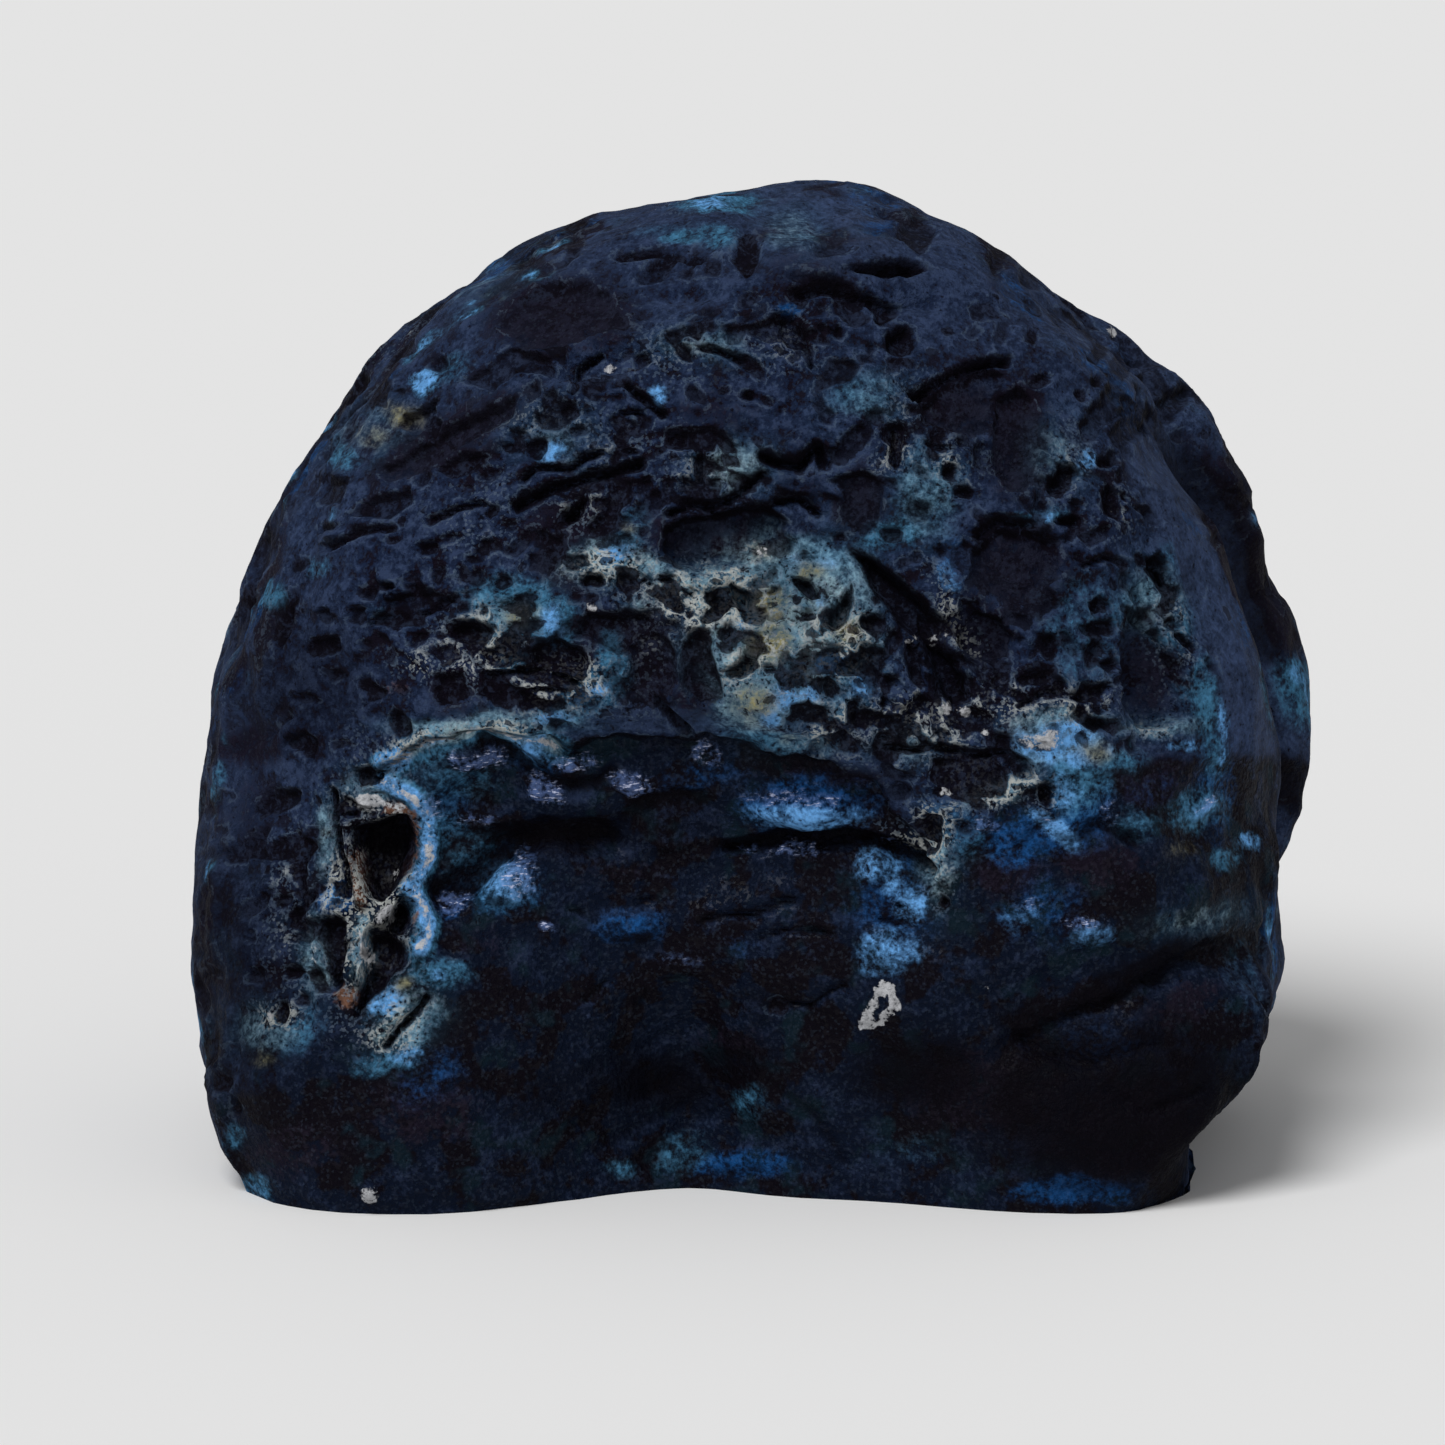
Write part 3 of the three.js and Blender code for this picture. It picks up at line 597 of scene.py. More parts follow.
FOLDS = [
    (0.7, 1.1, [
        (-27.4, 48.1), (-25, 46.8), (-22.9, 45.1), (-20.7, 43.8), (-18.9, 43.4), (-16, 43.8),
        (-14.3, 45),
    ]),
    (1.3, 2, [(-31.5, 32.3), (-28.5, 34.9), (-25.5, 37.6), (-22, 38.5), (-18, 38.3), (-14.5, 38)]),
    (0.9, 0.8, [(-13.3, 40), (-11.9, 41.3), (-9, 42.1), (-5.3, 42.1)]),
    (0.65, 1.9, [(-3, 37.3), (2.7, 37.9), (8, 37.9), (12, 37.7), (13.9, 37.1), (16, 36), (18, 35)]),
    (0.35, 0.8, [(-5.8, 29.6), (-3.2, 30.1), (0, 30.7), (2.7, 31.5), (4, 32)]),
    (0.3, 0.7, [(0.8, 28.2), (3.8, 28.8), (6.4, 29), (8.3, 28.5)]),
    (0.3, 0.7, [(3.5, 21.1), (5.4, 21.1), (7.2, 22.2), (9.3, 22.9)]),
    (0.3, 0.6, [(12.8, 30), (16, 29.3)]),
    (0.3, 0.6, [(-17.4, 21.8), (-14.9, 24)]),
    (0.3, 0.6, [(-11.1, 22.6), (-11.7, 20.9)]),
    (0.35, 0.6, [(-19.1, 30.9), (-17.3, 30.4)]),
    (0.5, 0.6, [(26.1, 18.1), (30, 16.4), (32.2, 15.5), (35, 15.2), (37.8, 16.1), (41.4, 16.9)]),
    (0.6, 0.8, [(32.2, 38.4), (35, 39.8), (37.8, 38.7), (38.9, 37.8)]),
    (0.5, 0.7, [(27, 37.8), (29.8, 40.4), (32, 41.5)]),
    (0.8, 0.5, [(-5.3, 11.6), (-10, 9.2), (-15.9, 5.9)]),
    (0.7, 0.4, [(-4.6, 10), (-8.6, 7), (-11.8, 4.4)]),
    (0.8, 0.4, [(-7.6, 13.4), (-13.4, 10.4), (-18.6, 8.4)]),
    (0.8, 0.5, [(2.2, 12.6), (6.4, 9), (9, 5)]),
    (0.5, 0.5, [(36, 12), (40.2, 9.6), (46, 12.4)]),
]


def swell_up(x, z, half_x, half_z, height, turn=0):
    ids = near_place(x, z, max(half_x, half_z) * 1.6 + 1)
    u, v = along_axes(x, z, half_x, half_z, turn, *strayed(ids, 0.4))
    swell = ramp(1.25, 0.35, np.hypot(u, v))
    relief[ids] += height * swell
    proud[ids] += 0.5 * swell


for swelling in SWELLS:
    swell_up(*swelling)
# Each fold sinks, and its floor gets painted shade.
for half_width, depth, line in FOLDS:
    ids, gap = along_line(line, 0.35)
    relief[ids] -= depth * ramp(2.0 * half_width, 0.0, gap)
    painted_fold_shade[ids] = np.maximum(painted_fold_shade[ids], ramp(1.6 * half_width, 0.2, gap) * min(1.0, depth))

# The sagging step across the lower right, sharp above and easing out below.
SAG = np.array([
    (18, 14.5), (24, 16.8), (28, 18.6), (30, 19.5), (35, 21), (40.6, 24.4), (45.9, 27.7), (50, 29.4),
    (56, 30.5),
])
over_sag = seen_z + 0.5 * wander_z - np.interp(seen_x, *SAG.T)
sag_depth = np.interp(seen_x, (18, 26, 34, 44, 50, 54), (0, 1.1, 2.0, 1.9, 1.0, 0.4))
fall = np.clip(-over_sag, 0, None)
relief -= sag_depth * ramp(0.5, -1.0, over_sag) * np.exp(-fall / 3.0) * (frontal > 0)
# Painted shade under the step's sharp upper edge.
painted_sag_shade = 0.8 * np.minimum(sag_depth, 1) * ramp(0.3, -0.8, over_sag) * np.exp(-fall / 1.8)
painted_fold_shade = np.maximum(painted_fold_shade, painted_sag_shade)

# Sides, top and back: the same crust, rubbed smoother, with shallow pits and short blade casts.
PITS_BEHIND = 300
behind = ramp(0.5, 0.25, facing)
relief *= frontal
lumps_behind = np.clip(small_lumps + 0.5 * soft_lumps + 0.5 * crumbs, -1, 1)
proud = proud * frontal + behind * lumps_behind
relief += behind * (0.5 * soft_lumps + 0.25 * small_lumps + 0.1 * crumbs)
draw = np.random.RandomState(53)
free = np.flatnonzero((facing < 0.35) & (points[:, 2] > 3))
for number in range(PITS_BEHIND):
    seat = draw.choice(free)
    size = 0.9 * np.exp(draw.uniform(0, 1.15))
    reach = size * np.exp(draw.uniform(0, 1.0))
    depth = draw.uniform(0.35, 0.6) * size**0.8
    first = draw.uniform(0, 2 * np.pi)
    offset = points - points[seat]
    close = np.sum(offset**2, axis=1) < (reach * 1.6 + 1) ** 2
    ids = np.flatnonzero(close & (normals @ normals[seat] > 0.3))
    run = np.cross(normals[seat], draw.normal(size=3))
    run /= np.linalg.norm(run)
    u = (offset[ids] @ run + 0.3 * wander_x[ids]) / reach
    v = (offset[ids] @ np.cross(normals[seat], run) + 0.3 * wander_z[ids]) / size
    inside_by = chipped(u, v, reach, size, 5, first, 0.2, 0.75)
    shallower = behind[ids] * (0.4 + 0.6 * ramp(0.1, 0.5, np.abs(facing[ids])))
    relief[ids] -= ramp(-0.2, 0.9, inside_by) * depth * shallower
    rim[ids] = np.where(behind[ids] > 0.3, np.maximum(rim[ids], inside_by), rim[ids])
    darkness = draw.uniform(0.2, 0.8) * (inside_by > -0.8) * behind[ids]
    hollow[ids] = np.maximum(hollow[ids], darkness)

# On the right a second lobe stands behind the front shoulder, whose rounded edge hides the deep
# crease between them.
SHOULDER = np.array([
    (54.3, 41.5), (54, 45.7), (53.2, 51.1), (52.3, 57), (51.1, 62.2), (49.6, 66), (47.7, 71.1),
    (45.5, 76), (42.3, 80.1),
])
from_shoulder = seen_x - np.interp(seen_z, SHOULDER[:, 1], SHOULDER[:, 0])
depth_in = points[:, 1] + 4.0 * soft_lumps + 1.5 * small_lumps
level_in = seen_z + 2.0 * soft_lumps
along_shoulder = ramp(39.0, 43.0, level_in) * ramp(84.0, 78.0, level_in) * (seen_x > 30)
before_crease = ramp(10.0, 2.0, depth_in)
on_edge = ramp(-6.0, -3.5, from_shoulder) * ramp(1.5, 0.0, from_shoulder)
relief *= 1.0 - 0.7 * before_crease * along_shoulder * on_edge
in_crease = np.exp(-(((points[:, 1] - 1.0) / 4.5) ** 2)) * along_shoulder * (points[:, 0] > 38)
relief -= 0.8 * in_crease

# Both flanks swell and draw in by a millimetre or three on their way up, given by the level.
flank = np.exp(-(((points[:, 2] - 48.0) / 11.0) ** 2)) * ramp(0.5, 0.1, np.abs(facing))
relief += flank * (points[:, 0] < -40)
sideways = ramp(0.6, 0.2, np.abs(facing))
on_left = ramp(-34.0, -40.0, points[:, 0])
on_right = ramp(34.0, 40.0, points[:, 0])
relief += sideways * on_left * np.interp(
    seen_z, (2, 6, 12, 17, 22, 27, 32, 38, 43, 53, 58, 69, 79, 84, 92),
    (0, 0.9, 0.9, 1.2, 0.3, 0.7, 1.0, 0.5, 0.4, 0.8, 0.1, 0.2, 1.1, 0.6, 0),
)
relief += sideways * on_right * np.interp(
    seen_z, (2, 6, 9, 12, 17, 22, 28, 33), (0, -1.8, -0.6, 1.0, 1.7, 2.2, 0.4, 0)
)
set_back = np.interp(seen_z, (34, 42, 48, 57, 67, 79, 86), (0, 0.5, 0.9, 1.4, 2.0, 2.0, 0))
relief -= set_back * on_right * ramp(-32.0, -22.0, points[:, 1]) * ramp(2.0, -4.0, points[:, 1])
lobe_rise = np.interp(
    seen_z, (30, 35, 38, 43, 48, 53, 58, 64, 69, 74, 79, 86, 93, 99),
    (0, 0.8, 2.4, 3.4, 3.2, 2.1, 0.7, 0.3, 2.0, 2.5, 1.2, 0.6, 0.8, 0),
)
relief += lobe_rise * on_right * ramp(3.0, 9.0, points[:, 1]) * ramp(36.0, 26.0, points[:, 1])

# The saw cut stays flat, and the relief fades out on its way down to it.
SPARE = (1.0, 0.0, 0.0)  # mm that the flanks may pass the solid's box
relief *= np.where(on_base, 0.0, 1.0) * ramp(-0.4, 1.6, points[:, 2])
moved = np.clip(points + normals * relief[:, None], low - SPARE, high + SPARE)
moved[on_base] = points[on_base]
put(stone, moved)
# How far the relief turns each point up or down: painted light on what faces up, painted shade on what
# faces down.
tilt = np.clip(1.7 * (outward_normals(stone)[:, 2] - normals[:, 2]), -1, 1)

# The colours are laid as ragged stains, mostly dye that took unevenly, though the glints of the
# recess are painted highlights and the last list is painted shade: place, half sizes, strength
# and, if any, turn of each.
STAINS = {
    "teal": [
        (33, 60, 4.4, 6.4, 0.4), (43, 60.6, 1.8, 1.8, 0.5), (-4.1, 104.8, 3.8, 1, 1.2),
        (-3.9, 101.2, 1.9, 1.2, 0.7), (-9, 102, 5, 1, 0.3, 5), (5.6, 101.5, 1.6, 2.4, 0.25),
        (12, 104, 3, 1, 0.2), (-7.5, 101, 1.8, 0.6, 1), (11, 84.7, 3.6, 2.3, 0.45),
        (17.8, 75, 3.4, 4.6, 0.5), (14, 70.4, 3.6, 1.6, 0.75, 20), (-14.1, 68.5, 2.1, 1.6, 1),
        (-12.4, 71.8, 1.6, 2, 0.5), (-24, 62, 4.4, 3, 1.25, -15), (-20.2, 61, 1.7, 2.4, 1),
        (-24.5, 57, 1.5, 0.9, 1.4), (-14.6, 57.4, 1.2, 2.4, 1, 10), (-16.8, 53.8, 3.2, 1.8, 1.3, 25),
        (-20.6, 50.9, 3.2, 1, 1.1, 12), (-36.6, 46.6, 1.5, 1.2, 1.4, 40), (-33.4, 47.4, 3, 1.4, 1, 20),
        (-28, 48.8, 5, 0.8, 0.6), (-22.6, 47.9, 2.3, 2, 1, -35), (-31.4, 44.2, 4.4, 2.2, 0.42),
        (-31.4, 39.8, 2, 3.6, 0.42), (-29.5, 37, 3.2, 1.8, 0.4, 40), (3, 62, 6.8, 5.6, 0.75),
        (5.5, 66.8, 4.2, 2.4, 0.85), (9.5, 57.5, 3.2, 2.6, 1.2), (3, 53.6, 3.4, 2, 0.6),
        (2, 48.7, 4.6, 1, 0.75, -8), (-25.9, 33.8, 3.2, 2.6, 0.7), (-32.3, 24.3, 2.8, 1.3, 0.95),
        (-37.4, 15.2, 3, 1.2, 0.8, 15), (-34.6, 18.6, 1.6, 2.4, 0.75, -45), (-0.5, 10.9, 1.7, 1.6, 0.6),
        (-7.5, 5.6, 3.2, 1.8, 0.5, 20), (-13.8, 4, 1.8, 0.8, 0.6), (16.5, 6, 4.8, 2.2, 0.2),
        (33, 44.4, 2.8, 3.2, 0.95), (36.8, 46.6, 2.8, 1.2, 0.7), (40.6, 64.3, 3.2, 1.4, 0.6, 30),
        (44.2, 61.6, 2, 3.6, 0.55, -20), (43.8, 68.4, 1.4, 2.4, 0.6), (46.9, 53, 2.2, 4.4, 0.9),
        (47.6, 47.2, 1.6, 2.6, 0.8), (46, 41.5, 2.8, 1.8, 0.85, 20), (50.4, 38.4, 1.1, 0.9, 0.5),
        (48.4, 36.4, 1.7, 0.9, 0.8), (50.4, 24, 3, 6.5, 0.22), (48.6, 10.6, 3, 5, 0.2),
        (54.3, 54.6, 1.8, 3.8, 1.1), (-48.8, 63.8, 0.9, 1.2, 1.2), (-44.8, 67, 1.4, 1, 0.5),
        (-41.7, 78.2, 0.9, 1.6, 0.75), (-33.7, 86, 1.2, 1, 1.2), (-46.8, 18.4, 2.8, 1.8, 0.55, 25),
        (-53.2, 7.4, 0.9, 1.3, 0.7), (-51.4, 1.6, 1.8, 1.3, 0.9), (-31.5, 87.5, 2.2, 1.4, 0.5, 30),
        (9, 52, 3, 3, 0.35), (36, 62.5, 3, 3, 0.35), (29, 72.2, 3.4, 0.8, 0.6, 5),
        (16.2, 62.8, 1.2, 3.6, 0.35, 35), (39, 40, 3, 2, 0.4), (-36.6, 61.8, 3, 2, 0.3),
        (20.6, 38.4, 3.4, 2.6, 0.5), (-37.4, 21.2, 2.8, 1.7, 0.6, 38),
    ],
    "sky": [
        (-20.5, 51, 2.2, 0.6, 0.9, 12), (5, 57, 1.4, 1, 0.6), (-1, 60.5, 0.8, 1.4, 0.6),
        (7, 63.4, 1, 1, 0.6), (-14.2, 68.4, 1.7, 1.2, 0.9), (5.6, 67.2, 3.2, 1, 0.5),
        (-17, 53.4, 2, 1, 1, 25), (-33.8, 86.1, 1.2, 1, 1.2), (-10.1, 84.8, 1, 1.1, 0.8),
        (-21, 78.8, 1.7, 0.9, 0.85, 20), (33.8, 77.9, 1, 1, 0.9), (29.3, 72.1, 1, 0.7, 0.7),
        (-36.9, 46.8, 1.3, 1, 1.6, 40), (-32.6, 48.4, 2, 0.6, 0.7, 20), (3, 53.4, 1.8, 1.6, 1),
        (5.9, 53.7, 1.2, 0.8, 1), (7.9, 56.7, 1.3, 1.1, 1.5), (10.9, 54.4, 1.2, 0.8, 1.3),
        (1.4, 51.1, 1, 0.8, 1.3), (5.1, 40.6, 5.4, 1.5, 0.85), (5.5, 39.7, 4.4, 0.7, 1),
        (11.7, 35.6, 1.5, 1.7, 0.7), (13.9, 34.5, 1.3, 1.9, 0.65), (15.6, 31.6, 1.5, 1.9, 0.8),
        (13.4, 26.8, 3, 2.3, 0.65), (30.4, 48.5, 3.3, 1.7, 1.5, 10), (33.2, 46.8, 1.5, 1, 1),
        (31.6, 43.2, 1.8, 1.8, 0.6), (30.6, 39.5, 2.4, 1, 1, -35), (34.7, 28.6, 2.6, 1.7, 0.4),
        (27.2, 30.3, 2.2, 1.9, 0.35), (48.6, 50.4, 0.6, 2, 1.4), (48.3, 47, 0.7, 1.2, 0.9),
        (46.4, 41.8, 1.9, 0.9, 0.6, 25), (50.6, 38.3, 0.8, 0.8, 0.9), (-25.9, 34.2, 2.4, 1.9, 0.85),
        (-22.9, 47.4, 2, 1.5, 0.85, -40), (-37.8, 21.4, 2.4, 1.3, 0.7, 38),
        (-35.4, 15.7, 2.2, 0.8, 0.6, 15), (-42.8, 32.3, 1.1, 1.1, 0.9), (54.3, 55.6, 1, 1.3, 0.55),
        (-51.4, 1.5, 1.4, 1, 0.5), (-20.6, 60.6, 1.2, 2, 0.8), (-4.4, 104.6, 2, 0.6, 0.9),
        (-32.2, 24.2, 1, 0.6, 0.8), (44, 48, 1.8, 0.6, 0.6), (19.6, 65.6, 1.2, 1.8, 0.5),
        (36.2, 47.6, 0.9, 0.7, 0.6), (-46.6, 37, 0.9, 1.4, 0.3),
    ],
    "cobalt": [
        (-1.3, 4.6, 4.4, 1.3, 0.9), (32.4, 1.6, 4.8, 1.1, 1.4), (35.6, 17.3, 4.5, 2.4, 0.42),
        (-12.6, 29.4, 3.4, 1.7, 0.6), (5, 41.6, 5.8, 2.5, 1), (-42.8, 32.3, 1.3, 1.3, 1.6),
        (20.2, 40.2, 3.8, 2.8, 0.5), (27.4, 38.4, 4, 2.4, 0.8), (33.2, 41.8, 3, 3.4, 0.8),
        (5.6, 55, 4.6, 2.6, 0.9), (-25.8, 34, 3.8, 3, 0.7), (29, 31, 4.6, 3.6, 0.4),
        (-30.8, 32, 2.2, 1.4, 0.6, 20), (-31.4, 41.6, 2.4, 3.4, 0.45),
        (-22.2, 46.8, 2.6, 2.4, 0.7, -30), (14, 31.4, 4, 6.6, 0.45, -10), (41, 43.4, 5, 2.4, 0.25),
        (47.4, 44, 2.2, 6, 0.5), (3.6, 93.6, 1, 0.8, 1.2), (-5.6, 44.6, 5, 1.8, 0.4, 10),
        (20.6, 67.4, 2.4, 2.6, 0.45), (-33, 13.4, 4, 2.4, 0.4, 30), (17, 7, 5, 3, 0.1),
        (-54.6, 50.6, 0.8, 1.3, 0.8), (-6, 57, 9, 9, 0.12), (-34, 27, 2.6, 3.6, 0.2),
        (-0.6, 27.4, 2.4, 1.8, 0.25),
    ],
    "worn": [
        (-3.5, 63.2, 9, 3.6, 1), (3, 58.6, 7, 7.4, 0.8), (10, 58, 4.4, 5.4, 0.75),
        (9, 50.4, 6, 3.4, 0.8), (17.6, 49.8, 4.6, 4, 0.75), (24, 52.4, 6, 3.8, 0.6),
        (31.4, 52.4, 6.4, 3, 0.55), (21.9, 45, 5.4, 3.8, 0.5), (18, 39, 2.8, 3.4, 0.8),
        (18.8, 34.3, 2, 3.4, 0.7), (25.6, 43.4, 4, 1.6, 0.75, 25), (29.8, 43.2, 2.2, 2.8, 0.5),
        (15.6, 83.4, 2.6, 4.4, 0.4), (14.3, 79, 2.2, 3.4, 0.55), (20.2, 77.6, 3.4, 3.4, 0.5),
        (31.4, 77.6, 3, 4.4, 0.45), (-14, 79.4, 9, 3.4, 0.38, 10), (-4.4, 76.6, 6, 3.6, 0.42),
        (-18.4, 74, 6, 3.4, 0.42), (-28, 72, 6, 8, 0.3), (-27.4, 58.4, 5, 4.4, 0.8),
        (-34.6, 57, 3, 2.4, 0.5), (-20, 54.6, 6, 3.4, 0.8), (-40, 33, 4.6, 12, 0.9),
        (-46.8, 30, 3, 9, 0.55), (-20.2, 82, 6, 3.4, 0.38), (3, 90.4, 5, 4.4, 0.4),
        (43, 60, 3.2, 6.4, 0.5), (41.6, 50.2, 4.6, 1.6, 0.45), (-7.4, 89, 5.4, 3.4, 0.4),
        (0.6, 68.3, 1.8, 1.4, 1), (-14.6, 67, 4.4, 1.8, 0.9), (-34, 48.6, 5, 1.4, 0.7, 20),
        (-27, 50, 5, 0.9, 0.8), (-36, 19.4, 4, 3, 0.9, 45), (-49, 20, 2.6, 2, 0.7),
        (37.8, 73.4, 3, 3.4, 0.45), (-11.4, 57.4, 3, 6, 0.5), (16, 37.4, 3.4, 1, 0.9, -28),
        (48.6, 28.8, 4, 1, 0.3, 10), (-16.4, 53.4, 3.4, 2, 0.5, 20), (20.4, 61.6, 1.4, 7, 0.6, 30),
    ],
    "ochre": [
        (1.4, 58.7, 2.6, 2, 1.1), (1.6, 62.8, 2, 1.7, 1), (5.6, 66.5, 1.6, 1, 0.9),
        (9.3, 60.1, 1.6, 1.1, 1.1), (-24, 61.9, 1.7, 1.3, 0.7), (-18.8, 52, 1.5, 0.8, 0.5),
        (34.9, 47.3, 2, 1.1, 0.7), (28.3, 47.2, 1.2, 0.8, 0.4), (43.2, 37.3, 1.9, 1, 0.35),
        (-36.1, 82.7, 1.8, 1.3, 0.6), (-35.8, 23.1, 1.2, 0.7, 0.8, 30), (-12.8, 70.8, 0.9, 0.9, 0.6),
        (0.8, 68.2, 1.1, 1, 0.6), (-50.2, 15.4, 1.2, 0.9, 0.5), (3.4, 48.9, 1.2, 0.6, 0.5),
        (0, 52.8, 2.4, 1.8, 0.8), (-30, 49.6, 2.4, 0.5, 0.5, 5), (-39, 80.4, 1.6, 1.2, 0.4),
    ],
    "rust": [
        (-36.9, 41.3, 1, 1.2, 1.1), (-34.9, 39, 0.4, 2.4, 1.2), (-40.4, 34.2, 0.7, 2.8, 1.3, 5),
        (-41.8, 21.8, 1.3, 1.1, 1.1), (-36.3, 54.2, 1.3, 1.8, 0.42, -45), (-34.6, 29.6, 0.4, 1.8, 0.7),
        (-38, 24, 1.4, 0.5, 0.5), (9.6, 60.6, 1, 0.7, 0.5), (-7, 65.8, 1.6, 0.5, 0.5),
    ],
    "white": [
        (-36.9, 41.9, 1.5, 0.5, 0.75, -15), (-39.6, 42.2, 1.25, 0.75, 1.7),
        (-37.8, 30.4, 1.2, 0.7, 1.2, 48), (-39.4, 1.4, 0.8, 0.7, 1.6), (29.6, 48.8, 2, 1.1, 1.1),
        (19.4, 52.1, 0.56, 0.63, 0.9, 20), (21.3, 51.8, 0.6, 0.5, 1.2), (23.5, 49.7, 0.56, 0.35, 0.9),
        (19.5, 43.2, 0.7, 0.45, 1.1), (16, 59, 0.5, 0.45, 1.2), (19.7, 59.9, 0.3, 0.42, 0.9, -35),
        (-14.7, 87.4, 0.55, 0.45, 1.1), (-49.5, 20.2, 0.42, 0.77, 0.8), (36.5, 91.2, 0.6, 0.45, 1.1),
        (0.1, 106.8, 1.2, 0.7, 1.4), (0.8, 68.2, 0.4, 0.7, 1, -35), (-36.6, 35.2, 0.55, 0.5, 1.2),
        (37.4, 73.1, 0.3, 0.35, 0.7), (-16.7, 62.6, 0.5, 0.5, 1), (23.6, 22.9, 0.42, 0.25, 0.8),
        (-39.9, 26.6, 0.45, 1.9, 0.9), (-44.9, 26, 0.5, 1.2, 0.8), (-20.4, 47, 0.42, 0.28, 0.5),
    ],
    "plum": [
        (-19.9, 93.3, 7.2, 3.6, 1.1), (26.9, 80.1, 3, 5.4, 1.1), (-31, 80.4, 8, 2.2, 1.1, 27),
        (-18.6, 69.6, 4, 5, 1.2), (20.8, 83.6, 4.4, 3, 0.9), (10.7, 73.3, 2.6, 4, 1.1),
        (26.6, 66.3, 5.4, 5.2, 0.95), (24, 59.7, 3, 2.6, 0.9), (-14, 60.4, 4.2, 2, 1.2),
        (-10.8, 56.4, 3, 4, 1.2), (-6, 55, 3.2, 3.4, 1), (-30.9, 54, 2.6, 2.2, 0.9),
        (-19.8, 57.4, 3.2, 1.8, 1.2), (-26, 53.6, 2.4, 2.2, 0.9), (-51.3, 48, 3.6, 2.2, 0.9),
        (-51.6, 41, 2.6, 4.4, 0.5), (40.6, 44.2, 4.4, 2.4, 0.9), (35, 36, 5, 2.6, 0.9),
        (26, 34.8, 3.2, 2.6, 1), (7.6, 45.2, 5.4, 1.6, 1, -8), (-4.5, 82.4, 4.8, 3.6, 0.55),
        (3, 79.8, 3.4, 2, 0.4), (4.4, 75.4, 4, 1.7, 0.5), (5.4, 97.4, 5, 2.4, 0.5),
        (-34, 10, 6, 4, 0.7), (-47, 6, 5, 3, 0.7), (-2.4, 17, 4, 2.4, 0.5), (38, 8, 9, 5, 0.9),
        (24, 12, 9, 4.4, 0.8), (44, 21, 4, 2.4, 0.8, 20), (-3.8, 69.8, 6, 2.8, 1.3),
        (41.2, 56.4, 2.8, 5.6, 0.8), (-26.6, 79, 2, 0.9, 0.9, 25), (41.9, 66, 1.2, 1.8, 0.9, 20),
        (-28, 27, 5, 4, 0.4), (0, 45.4, 5, 1.6, 0.4), (39.4, 78.6, 2, 2.4, 0.9), (-14, 35, 6, 2, 0.4),
    ],
    # Painted highlights on the lumps of the recess.
    "painted_highlight": [
        (-30, 46.2, 1, 0.9, 0.9), (-27.6, 46.2, 1.8, 0.8, 0.9), (-18.3, 46.3, 2.2, 0.8, 1),
        (-21.6, 43.1, 1.7, 1, 1, -30), (-12.4, 43.9, 1.7, 0.9, 1.3, -15),
        (-4.9, 46.8, 1.4, 0.7, 0.9, -30), (3.6, 42.6, 4.6, 0.6, 0.8), (7.8, 42.4, 0.9, 0.5, 0.9),
        (-28.7, 40.4, 1.8, 0.6, 0.8), (-33, 41.8, 1.3, 0.9, 0.8, -35), (-30.8, 32.2, 1.8, 0.9, 1, 20),
        (-24, 34.6, 1.6, 2, 0.9), (-1, 37.2, 0.9, 0.3, 0.9), (4, 37, 2.2, 0.4, 0.8),
        (-21.2, 29.1, 0.6, 0.5, 1), (33.8, 29.7, 2.2, 0.5, 0.7), (23.4, 39.8, 1.8, 0.5, 0.7),
        (-7.7, 26, 2.6, 0.5, 0.3), (-15.6, 20, 2, 0.4, 0.3), (36.4, 41, 1, 1.2, 0.5),
        (46.8, 42.2, 1.6, 0.4, 0.7, 28), (28, 31.4, 1.4, 0.5, 0.6), (13.6, 37.6, 0.7, 0.3, 0.6),
        (30, 40.2, 1.6, 0.3, 0.5, -35),
    ],
    "mist": [
        (-24.2, 61.8, 2, 1.5, 1), (28.3, 47.2, 1.6, 0.9, 1.1), (5.4, 66.4, 3.4, 1.8, 0.9),
        (-13, 66.6, 4.6, 1, 0.9), (-6, 64.6, 4.4, 2, 0.9), (-0.4, 53.4, 2.6, 3.2, 0.9),
        (6.4, 60.6, 4.4, 4.6, 0.9), (30.6, 48.6, 2.8, 1.5, 1.8), (-15, 68.4, 2.2, 1.3, 0.9),
        (-3.5, 63.4, 5, 2.6, 0.6), (2.5, 60, 6.5, 7, 1.4), (8, 63.5, 4, 4, 0.8),
        (0, 52.6, 3.6, 2.4, 0.95), (9, 58.5, 3, 3, 1.1), (-10, 63.2, 3.4, 1.3, 0.5),
        (31, 50.6, 4.4, 1.3, 0.7), (24.6, 43.4, 4, 1.3, 0.7, 25), (16, 48.6, 4, 2, 0.45),
        (-14.6, 67, 4, 1.6, 0.8), (17.5, 74.4, 3.2, 4.4, 0.35), (-29, 50, 6, 0.8, 1.1),
        (-39.4, 43.8, 3, 1.8, 0.5), (-43.7, 38.5, 1, 4, 0.55), (-45, 26, 1.3, 4, 0.65),
        (-39.9, 26.4, 0.9, 3.2, 1.1), (12, 84.6, 4, 3.2, 0.25), (-20.6, 80.2, 4.2, 3.4, 0.25),
        (-24, 50.6, 6, 1, 0.55), (31.4, 78.4, 3.2, 3.4, 0.3), (41.4, 50.2, 4.4, 1, 0.5),
        (-50, 18.6, 2.6, 2.2, 0.5), (-35.6, 19.4, 3.2, 2.4, 0.7, 45), (18.6, 36.2, 1.8, 4.4, 0.6),
        (3.6, 101.8, 2.6, 2.4, 0.3), (-5, 89.8, 4.4, 1.6, 0.4), (-2.6, 77, 3.4, 2.4, 0.6),
        (5.6, 48.4, 4, 1, 0.45, -8), (-27.6, 61.2, 2.4, 2.4, 0.4), (-39, 81, 4, 2.6, 0.25, 30),
